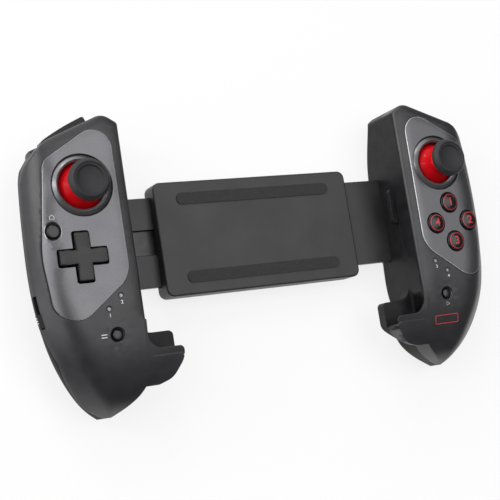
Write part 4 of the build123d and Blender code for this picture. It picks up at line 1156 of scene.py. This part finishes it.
def ink_mesh(name, outline, place):
    """A flat curve or text made a mesh, cut fine enough to follow a curved surface."""
    mesh = bpy.data.meshes.new_from_object(outline)
    bpy.data.objects.remove(outline)
    mesh.name = name
    shape = bmesh.new()
    shape.from_mesh(mesh)
    bmesh.ops.remove_doubles(shape, verts=shape.verts, dist=merge_distance)
    bmesh.ops.triangulate(shape, faces=shape.faces)
    for _ in range(2):
        long_edges = [edge for edge in shape.edges if edge.calc_length() > ink_cut]
        bmesh.ops.subdivide_edges(shape, edges=long_edges, cuts=1)
        bmesh.ops.triangulate(shape, faces=shape.faces)
    bmesh.ops.translate(shape, verts=shape.verts, vec=(place[0], place[1], 0))
    shape.to_mesh(mesh)
    shape.free()
    return mesh


def number_mark(name, digit, size, place, surface, body, finish):
    """A printed number."""
    text = bpy.data.curves.new(name, "FONT")
    text.body = digit
    text.size = size
    text.align_x = "CENTER"
    text.align_y = "CENTER"
    text.extrude = ink_depth / 2
    text.offset = ink_weight * size
    outline = bpy.data.objects.new(name, text)
    scene.collection.objects.link(outline)
    bpy.context.view_layer.update()
    return laid(name, ink_mesh(name, outline, place), surface, body, finish)


def laid(name, mesh, surface, body, finish):
    """Drop ink on a surface and let it ride with its body."""
    dropped(mesh, surface_of(surface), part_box("right_faceplate")[1].z)
    mesh.materials.clear()
    mesh.materials.append(finish)
    mark = bpy.data.objects.new(name, mesh)
    scene.collection.objects.link(mark)
    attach(mark, body)
    return mark


# %% Rings and numbers on the face buttons
ring_out = 4.35 * mm
ring_in = 4.0 * mm
face_number_size = 6.0 * mm


def flat_ring(name, outer, inner, place):
    """A thin flat ring as a mesh, before it is dropped."""
    profile = [(inner, 0), (outer, 0), (outer, ink_depth), (inner, ink_depth), (inner, 0)]
    shape = turned(profile, place, steps=72)
    mesh = bpy.data.meshes.new(name)
    shape.to_mesh(mesh)
    shape.free()
    return mesh


numbers = {"top": "1", "right": "2", "bottom": "3", "left": "4"}
for name, digit in numbers.items():
    node = f"{name}_button"
    number_mark(
        f"{name}_number", digit, face_number_size, middle(node), button_faces[name], node, ink_red,
    )
    laid(
        f"{name}_red_line", flat_ring(f"{name}_red_line", ring_out, ring_in, middle(node)),
        button_faces[name], node, ink_red,
    )
print("face buttons marked")

# %% Numbers of the lamps
lens_radius = 0.85 * mm
number_drop = 3.1 * mm
lamp_number_size = 2.4 * mm


def lens_places(side):
    """The two lamps of a grip, the upper one first."""
    low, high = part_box(f"{side}_led_lenses")
    near = low.x if side == "right" else high.x
    far = high.x if side == "right" else low.x
    step = lens_radius if side == "right" else -lens_radius
    return [(near + step, high.y - lens_radius), (far - step, low.y + lens_radius)]


lamp_digits = {"left": ("2", "1"), "right": ("3", "4")}
for side, digits in lamp_digits.items():
    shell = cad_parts[f"{side}_front_shell"]
    for digit, place in zip(digits, lens_places(side)):
        spot = (place[0], place[1] - number_drop)
        number_mark(
            f"lamp_number_{digit}", digit, lamp_number_size, spot, shell, f"{side}_grip", ink_grey,
        )
print("lamps numbered")

# %% Outlined marks
mark_line = 0.28 * mm
bar_line = 0.45 * mm
bar_reach = 1.4 * mm
bar_offset = 0.6 * mm
house_up = 6.4 * mm
triangle_down = 5.4 * mm
bars_aside = 6.6 * mm


def outline_mark(name, corners, place, surface, body, finish, closed=True, line=mark_line):
    """A line of ink round a few corners, its joints rounded."""
    curve = bpy.data.curves.new(name, "CURVE")
    curve.dimensions = "3D"
    curve.bevel_depth = line / 2
    curve.bevel_resolution = 1
    spline = curve.splines.new("POLY")
    spline.points.add(len(corners) - 1)
    for point, corner in zip(spline.points, corners):
        point.co = (corner[0], corner[1], 0, 1)
    spline.use_cyclic_u = closed
    outline = bpy.data.objects.new(name, curve)
    scene.collection.objects.link(outline)
    bpy.context.view_layer.update()
    mesh = ink_mesh(name, outline, place)
    for point in mesh.vertices:
        point.co.z *= ink_depth / line
    return laid(name, mesh, surface, body, finish)


def rounded_box(width, height, radius, steps=4):
    """The corners of a rectangle with round corners, about the origin."""
    corners = []
    for turn, (right, up) in enumerate(((1, 1), (-1, 1), (-1, -1), (1, -1))):
        for n in range(steps + 1):
            angle = math.radians(90 * turn + 90 * n / steps)
            corners.append(
                (
                    right * (width / 2 - radius) + radius * math.cos(angle),
                    up * (height / 2 - radius) + radius * math.sin(angle),
                )
            )
    return corners


home = middle("home_button")
house = [(-1.0, -0.8), (1.0, -0.8), (1.0, 0.3), (0, 1.2), (-1.0, 0.3)]
outline_mark(
    "house_mark", [(x * mm, y * mm) for x, y in house], (home.x, home.y + house_up),
    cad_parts["left_faceplate"], "left_grip", ink_grey,
)
start = middle("start_button")
triangle = [(-0.8, -1.0), (1.1, 0), (-0.8, 1.0)]
outline_mark(
    "start_mark", [(x * mm, y * mm) for x, y in triangle], (start.x, start.y - triangle_down),
    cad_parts["right_front_shell"], "right_grip", ink_grey,
)
select = middle("select_button")
for name, up in (("upper", bar_offset), ("lower", -bar_offset)):
    outline_mark(
        f"select_mark_{name}", [(-bar_reach, 0), (bar_reach, 0)],
        (select.x - bars_aside, select.y + up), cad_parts["left_front_shell"], "left_grip",
        ink_grey, closed=False, line=bar_line,
    )

# %% Red frame on the right grip
frame_width = 14.4 * mm
frame_height = 4.3 * mm
frame_corner = 0.6 * mm
frame_line = 0.42 * mm
frame_place = (start.x - 1.3 * mm, start.y - 13.35 * mm)
outline_mark(
    "red_frame", rounded_box(frame_width, frame_height, frame_corner), frame_place,
    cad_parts["right_front_shell"], "right_grip", ink_red, line=frame_line,
)
print("marks printed")

# %% [markdown]
# ## The imported box
# The dressed gamepad has to stay inside the imported model's box, which is written down here.

# %% Write the imported box
print("packed box", [round(v / mm, 1) for corner in cad_box for v in corner])
